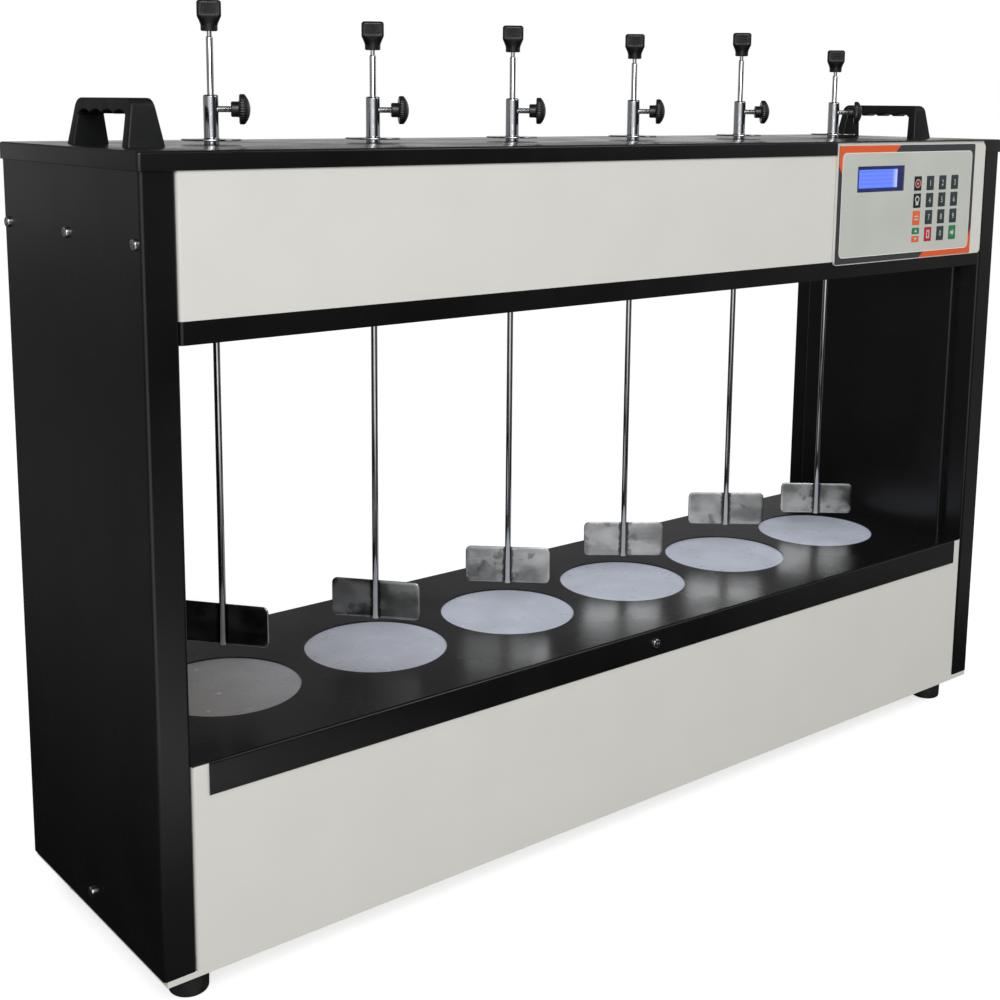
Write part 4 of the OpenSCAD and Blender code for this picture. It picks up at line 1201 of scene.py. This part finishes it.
# %% [markdown]
# ## Screws, and what stays inside
# The cabinet's screws are zinc-plated M4 pan heads. The motor, belts, pulleys, bearings, boards
# and the rear inlet are mostly hidden, but each keeps its CAD form with broken edges and the
# finish of its own make: turned aluminium, cast iron, black motor paint, solder mask on glass
# fibre, moulded nylon.

# %% Finishes inside
turned_aluminium = new_material("turned_aluminium", "#b4b6b9", 0.3, Metallic=1.0)
vary(turned_aluminium, "Roughness", noise_on(turned_aluminium, 1.5, 2, (1, 1, 8)), 0.22, 0.4)
turned_steel = new_material("turned_steel", "#8f9093", 0.34, Metallic=1.0)
vary(turned_steel, "Roughness", noise_on(turned_steel, 1.5, 2, (1, 1, 8)), 0.26, 0.42)
cast_iron = new_material("painted_cast_iron", "#6f7275", 0.5, Metallic=0.4)
vary(cast_iron, "Base Color", noise_on(cast_iron, 4, 3), "#626568", "#7d8083")
relief(cast_iron, noise_on(cast_iron, 1.2, 3), 0.12, 0.7)
motor_paint = new_material("black_motor_paint", "#1f2022", 0.4)
vary(motor_paint, "Roughness", noise_on(motor_paint, 12, 3), 0.34, 0.5)
relief(motor_paint, noise_on(motor_paint, 1.5, 2), 0.03, 0.5)
belt_rubber = new_material("belt_neoprene", "#151515", 0.7)
vary(belt_rubber, "Base Color", noise_on(belt_rubber, 3, 3), "#111111", "#1d1d1c")
solder_mask = new_material("green_solder_mask", "#1f5a3a", 0.34)
tracks = noise_on(solder_mask, 3, 1, (1, 0.2, 1))
vary(solder_mask, "Base Color", tracks, "#1a4f32", "#2f7048", 0.49, 0.51)
nylon = new_material("black_moulded_nylon", "#181818", 0.48)
vary(nylon, "Roughness", noise_on(nylon, 6, 3), 0.42, 0.56)
relief(nylon, noise_on(nylon, 0.9, 2), 0.03, 0.5)
rocker_red = new_material("red_moulded_rocker", "#b01822", 0.26, Coat_Weight=0.3)
vary(rocker_red, "Base Color", noise_on(rocker_red, 5, 2), "#a81620", "#bb1d28")

for node, width, finish, slot in (
    ("cabinet_screws", 0.15, zinc, "zinc_screw"),
    ("drive_motor", 0.4, motor_paint, "motor_black"),
    ("motor_pulley", 0.2, turned_steel, "steel_rotor"),
    ("drive_belts", 0.2, belt_rubber, "belt_rubber"),
    ("bearing_units", 0.3, cast_iron, "cast_bearing"),
    ("bearing_plate", 0.3, zinc_sheet, "zinc_sheet"),
    ("power_supply", 0.4, zinc_sheet, "zinc_sheet"),
    ("control_board", 0.15, solder_mask, "circuit_board"),
    ("mains_inlet", 0.3, nylon, "inlet_plastic"),
    ("switch_rocker", 0.3, rocker_red, "rocker_red"),
    *[(f"pulley_{n}", 0.2, turned_aluminium, "aluminium_pulley") for n in STATIONS],
):
    soften(node, width, finish)

# %% [markdown]
# ## Control panel
# The controls sit on a polyester film printed on its back: a light grey field with round
# corners, a dark border, and orange corners with slanted ends. Each ink is a thin layer of its
# own, a few hundredths of a millimetre apart, and the keys are embossed, so they stand a third
# of a millimetre proud with rolled edges. The maker's words are left off.

# %% Printed film
FILM_CORNER, FIELD_CORNER, INK = 2.0, 5.0, 0.03
FIELD_IN = np.array([6.0, 6.5]), np.array([5.5, 7.5])  # border left and below, right and above

film_low, film_high = node_box("fascia_film")
screen_low, screen_high = node_box("display")
FACE = -film_low[1]  # how far the film's face stands in front of the middle


def slab(outlines, low, high):
    """Plate between two heights, with its holes: both faces and a wall along every outline."""
    faces = [plate(outlines, low), plate(outlines, high)]
    return faces + [walls(outline, (low, high)) for outline in outlines]


def to_front(parts, depth=0.0):
    """Stands parts drawn in X and Z up at the film's face, with their height towards the front."""
    stand = UPRIGHT.copy()
    stand[1, 3] = -FACE - depth
    return [place(part, stand) for part in parts]


def ink(name, colour, roughness=0.36):
    """Screen ink under a satin film: even colour with a faint grain of the film's face."""
    material = new_material(name, colour, roughness)
    vary(material, "Roughness", noise_on(material, 12, 2), roughness - 0.04, roughness + 0.05)
    relief(material, noise_on(material, 0.8, 1), 0.01, 0.4)
    return material


film_face = ink("light_grey_film_ink", "#bfc2ba")
vary(film_face, "Base Color", noise_on(film_face, 60, 2), "#bdc0b8", "#c3c6be")
border_ink = ink("dark_border_ink", "#393c40")
orange_ink = ink("orange_corner_ink", "#df5a26")
glow_ink = ink("pale_edge_ink", "#e6eadf")

film_rect = (film_low[[0, 2]], film_high[[0, 2]])
field_rect = (film_rect[0] + FIELD_IN[0], film_rect[1] - FIELD_IN[1])
screen_rect = (screen_low[[0, 2]], screen_high[[0, 2]])
film_line = rounded_rectangle(*film_rect, FILM_CORNER)
field_line = rounded_rectangle(*field_rect, FIELD_CORNER)
glow_line = rounded_rectangle(field_rect[0] - 0.7, field_rect[1] + 0.7, FIELD_CORNER + 0.7)
screen_gap = 0.2
screen_hole = rounded_rectangle(screen_rect[0] - screen_gap, screen_rect[1] + screen_gap, 0.6, 3)
film_thick = film_high[1] - film_low[1]
add_shape(
    "film_border",
    to_front(slab([film_line, screen_hole], -film_thick, 0.0)),
    "cabinet",
    border_ink,
    ["fascia_film"],
)
for name, line, rise, finish in (
    ("film_pale_edge", glow_line, 2, glow_ink),
    ("film_field", field_line, 3, film_face),
):
    parts = to_front(slab([line, screen_hole], 0.0, rise * INK))
    add_shape(name, parts, "cabinet", finish)

# %% Orange corners
CORNER_RUN, CORNER_DROP, SLANT, FOOT_FROM, FOOT_RISE = 0.43, 0.17, 9.0, 0.60, 0.15
CUT, BORDER_TURN = 0.9, 4.0  # how far in the film's corner and the border's corner are cut
(left, bottom), (right, top) = film_rect
wide, tall = right - left, top - bottom
(border_l, border_b), (border_r, border_t) = FIELD_IN
upper_corner = np.array(
    [
        (left, top - CORNER_DROP * tall),
        (left + border_l, top - CORNER_DROP * tall - SLANT),
        (left + border_l, top - border_t - BORDER_TURN),
        (left + border_l + BORDER_TURN, top - border_t),
        (left + CORNER_RUN * wide - SLANT, top - border_t),
        (left + CORNER_RUN * wide, top),
        (left + FILM_CORNER, top),
        (left + CUT, top - CUT),
        (left, top - FILM_CORNER),
    ]
)
lower_corner = np.array(
    [
        (left + FOOT_FROM * wide, bottom),
        (right - FILM_CORNER, bottom),
        (right - CUT, bottom + CUT),
        (right, bottom + FILM_CORNER),
        (right, bottom + FOOT_RISE * tall + SLANT),
        (right - border_r, bottom + FOOT_RISE * tall),
        (right - border_r, bottom + border_b + BORDER_TURN),
        (right - border_r - BORDER_TURN, bottom + border_b),
        (left + FOOT_FROM * wide + SLANT, bottom + border_b),
    ]
)
corner_parts = slab([upper_corner], 0.0, INK) + slab([lower_corner], 0.0, INK)
add_shape("film_corners", to_front(corner_parts), "cabinet", orange_ink)

# %% [markdown]
# ## Display
# A liquid-crystal module shows in the film's window: a dark blue frame and, sunk behind it, the
# lit glass with four lines of twenty character cells. The glass lights up blue by itself, a bit
# paler along its right edge, where the lamp sits, and the cells are only faintly darker.

# %% Frame and lit glass
GLASS_IN = np.array([3.3, 3.6]), np.array([9.8, 3.2])
GLASS_SUNK, GLASS_BACK, GLASS_GAP, CELL_LINES, CELLS = 0.45, 0.9, 0.05, 4, 20
navy = new_material("dark_blue_display_frame", "#242c66", 0.3)
vary(navy, "Base Color", noise_on(navy, 20, 2), "#20285c", "#2a3270")
soften("display", 0.2, navy)

glass = new_material("lit_display_glass", "#4a66e6", 0.12, Emission_Strength=0.3)
tree = glass.node_tree
spot = add_node(tree, "ShaderNodeTexCoord").outputs["Object"]
spot_xyz = add_node(tree, "ShaderNodeSeparateXYZ", {"Vector": spot})
glass_low = screen_rect[0] + GLASS_IN[0]
glass_high = screen_rect[1] - GLASS_IN[1]
cell_size = (glass_high - glass_low) / (CELLS + 1, CELL_LINES + 0.6)
waves = []
for key, size, duty in (("X", cell_size[0], 0.2), ("Z", cell_size[1], 0.05)):
    count = add_node(
        tree,
        "ShaderNodeMath",
        {0: spot_xyz.outputs[key], 1: 2 * np.pi / (size * MM)},
        operation="MULTIPLY",
    )
    wave = add_node(tree, "ShaderNodeMath", {0: count.outputs[0]}, operation="SINE")
    waves.append(
        add_node(
            tree,
            "ShaderNodeMapRange",
            {"Value": wave.outputs[0], "From Min": -duty - 0.5, "From Max": 0.6 - duty},
        ).outputs["Result"]
    )
cells = add_node(tree, "ShaderNodeMath", {0: waves[0], 1: waves[1]}, operation="MULTIPLY")
lit_side = add_node(
    tree,
    "ShaderNodeMapRange",
    {
        "Value": spot_xyz.outputs["X"],
        "From Min": (glass_high[0] - 9) * MM,
        "From Max": (glass_high[0] - 0.4) * MM,
        "To Max": 0.75,
    },
    interpolation_type="SMOOTHSTEP",
)
screen_blue = add_node(
    tree,
    "ShaderNodeMix",
    {0: cells.outputs[0], 6: srgb("#6581fb"), 7: srgb("#536eea")},
    data_type="RGBA",
)
screen_light = add_node(
    tree,
    "ShaderNodeMix",
    {0: lit_side.outputs["Result"], 6: screen_blue.outputs[2], 7: srgb("#c3d0ff")},
    data_type="RGBA",
)
for key in ("Base Color", "Emission Color"):
    tree.links.new(screen_light.outputs[2], tree.nodes["Principled BSDF"].inputs[key])
glass_line = rounded_rectangle(glass_low + GLASS_GAP, glass_high - GLASS_GAP, 0.3, 2)
glass_parts = to_front(slab([glass_line], -GLASS_BACK, -GLASS_SUNK), -screen_low[1] - FACE)
add_shape("display_glass", glass_parts, "cabinet", glass)

# %% [markdown]
# ## Keys
# Seventeen embossed keys in four columns. The three right columns are the digits, and the bottom
# row has a red key before the nought and a green one after it. The left column holds round
# and square signs and two half-height keys. A key is a stack of rounded rectangles that step in
# as they rise, and its sign is a flat print on top: a digit from the built-in font made a mesh,
# or a plain ring, bar or arrow.

# %% Key caps and their prints
KEY_SIZE, SMALL_H, KEY_RISE, KEY_CORNER = (12.4, 14.8), 6.5, 0.33, 0.8
KEY_FIRST = np.array([127.5, -39.3])
KEY_STEP, SMALL_SHIFT = np.array([21.2, -17.6]), 4.15
DIGIT_H, DIGIT_NARROW = 6.0, 0.85
KEY_BASE = 3 * INK - 0.06  # a key starts inside the field's ink

key_finish = {
    "dark": ink("dark_key_ink", "#2e3b3b", 0.32),
    "black": ink("black_key_ink", "#181a1c", 0.32),
    "orange": ink("orange_key_ink", "#e0672b", 0.32),
    "green": ink("green_key_ink", "#2c7a4e", 0.32),
    "red": ink("red_key_ink", "#b3202b", 0.32),
}
print_finish = {
    "pale": ink("pale_sign_ink", "#bfc4c2"),
    "rose": ink("rose_ring_ink", "#d98a8c"),
}


def key_centre(column, row, shift=0.0):
    """Middle of a key, counted from the film's upper left corner."""
    return np.array([left, top]) + KEY_FIRST + KEY_STEP * (column, row) + (0, shift)


def cap_part(centre, height):
    """Embossed pad: insets 0, 0.05, 0.2 and 0.5 mm at four rising heights."""
    half = np.array([KEY_SIZE[0], height]) / 2
    rows = []
    for inset, rise in ((0, 0), (0.05, 0.6), (0.2, 0.9), (0.5, 1.0)):
        low, high = centre - half + inset, centre + half - inset
        line = rounded_rectangle(low, high, KEY_CORNER - inset, 4)
        rows.append(np.column_stack([line, np.full(len(line), rise * KEY_RISE)]))
    return grid(np.stack(rows), caps=True)


def digit_parts(text, centre):
    """Sign from the built-in font: its curve made a mesh, merged and centred on the key."""
    curve = bpy.data.curves.new("digit", "FONT")
    curve.body, curve.size, curve.extrude = text, DIGIT_H * MM / 0.7, INK * MM
    curve.align_x, curve.align_y, curve.resolution_u = "CENTER", "CENTER", 3
    holder = bpy.data.objects.new("digit", curve)
    mesh = holder.to_mesh()
    points = np.array([corner.co for corner in mesh.vertices]) / MM
    faces = [list(face.vertices) for face in mesh.polygons]
    holder.to_mesh_clear()
    bpy.data.objects.remove(holder)
    bpy.data.curves.remove(curve)
    points[:, :2] *= (DIGIT_NARROW, 1.0)
    points[:, :2] += centre - (points[:, :2].min(0) + points[:, :2].max(0)) / 2
    points[:, 2] += KEY_RISE
    return [(points, faces)]


def flat_sign(lines, centre):
    """Print inside closed lines, on top of a key."""
    return slab([np.array(line) + centre for line in lines], KEY_RISE, KEY_RISE + INK)


def box_line(width, height):
    """Corners of a rectangle about the origin, anticlockwise."""
    x, y = width / 2, height / 2
    return np.array([(-x, -y), (x, -y), (x, y), (-x, y)])


caps = {name: [] for name in key_finish}
prints = {name: [] for name in print_finish}
for k, text in enumerate("123456789"):
    centre = key_centre(1 + k % 3, k // 3)
    caps["dark"].append(cap_part(centre, KEY_SIZE[1]))
    prints["pale"] += digit_parts(text, centre)
caps["red"].append(cap_part(key_centre(1, 3), KEY_SIZE[1]))
prints["pale"] += flat_sign([box_line(5.2, 8.4), box_line(2.4, 5.6)], key_centre(1, 3))
caps["dark"].append(cap_part(key_centre(2, 3), KEY_SIZE[1]))
prints["pale"] += digit_parts("0", key_centre(2, 3))
caps["green"].append(cap_part(key_centre(3, 3), KEY_SIZE[1]))
hook = [(-3.2, -1.6), (0.2, -1.6), (0.2, -3.6), (3.4, 0.0), (0.2, 3.6), (0.2, 1.6), (-3.2, 1.6)]
prints["pale"] += flat_sign([hook], key_centre(3, 3))
caps["black"].append(cap_part(key_centre(0, 0), KEY_SIZE[1]))
prints["rose"] += flat_sign([circle((0, 0), 4.6, 48), circle((0, 0), 3.3, 48)], key_centre(0, 0))
prints["rose"] += flat_sign([circle((0, 0), 1.5, 32)], key_centre(0, 0))
caps["black"].append(cap_part(key_centre(0, 1), KEY_SIZE[1]))
bulb = np.concatenate([arc((0, 1.4), 3.6, -50, 230, 24), [(-2.3, -4.6), (2.3, -4.6)]])
prints["pale"] += flat_sign([bulb, circle((0, 1.4), 2.2, 32)], key_centre(0, 1))
caps["orange"].append(cap_part(key_centre(0, 2), KEY_SIZE[1]))
prints["pale"] += flat_sign([box_line(6.4, 1.3) + (0, 1.6)], key_centre(0, 2))
prints["pale"] += flat_sign([box_line(6.4, 1.3) - (0, 1.6)], key_centre(0, 2))
arrow = np.array([(-2.6, -1.3), (2.6, -1.3), (0.0, 1.7)])
for name, sign in (("green", 1), ("orange", -1)):
    centre = key_centre(0, 3, sign * SMALL_SHIFT)
    caps[name].append(cap_part(centre, SMALL_H))
    prints["pale"] += flat_sign([arrow[::sign] * (1, sign)], centre)
for name, parts in caps.items():
    raised = to_front(parts, KEY_BASE)
    add_shape(f"keys_{name}", raised, "cabinet", key_finish[name], ["keypad"])
for name, parts in prints.items():
    raised = to_front(parts, KEY_BASE)
    add_shape(f"signs_{name}", raised, "cabinet", print_finish[name])
print("keys:", sum(len(parts) for parts in caps.values()))
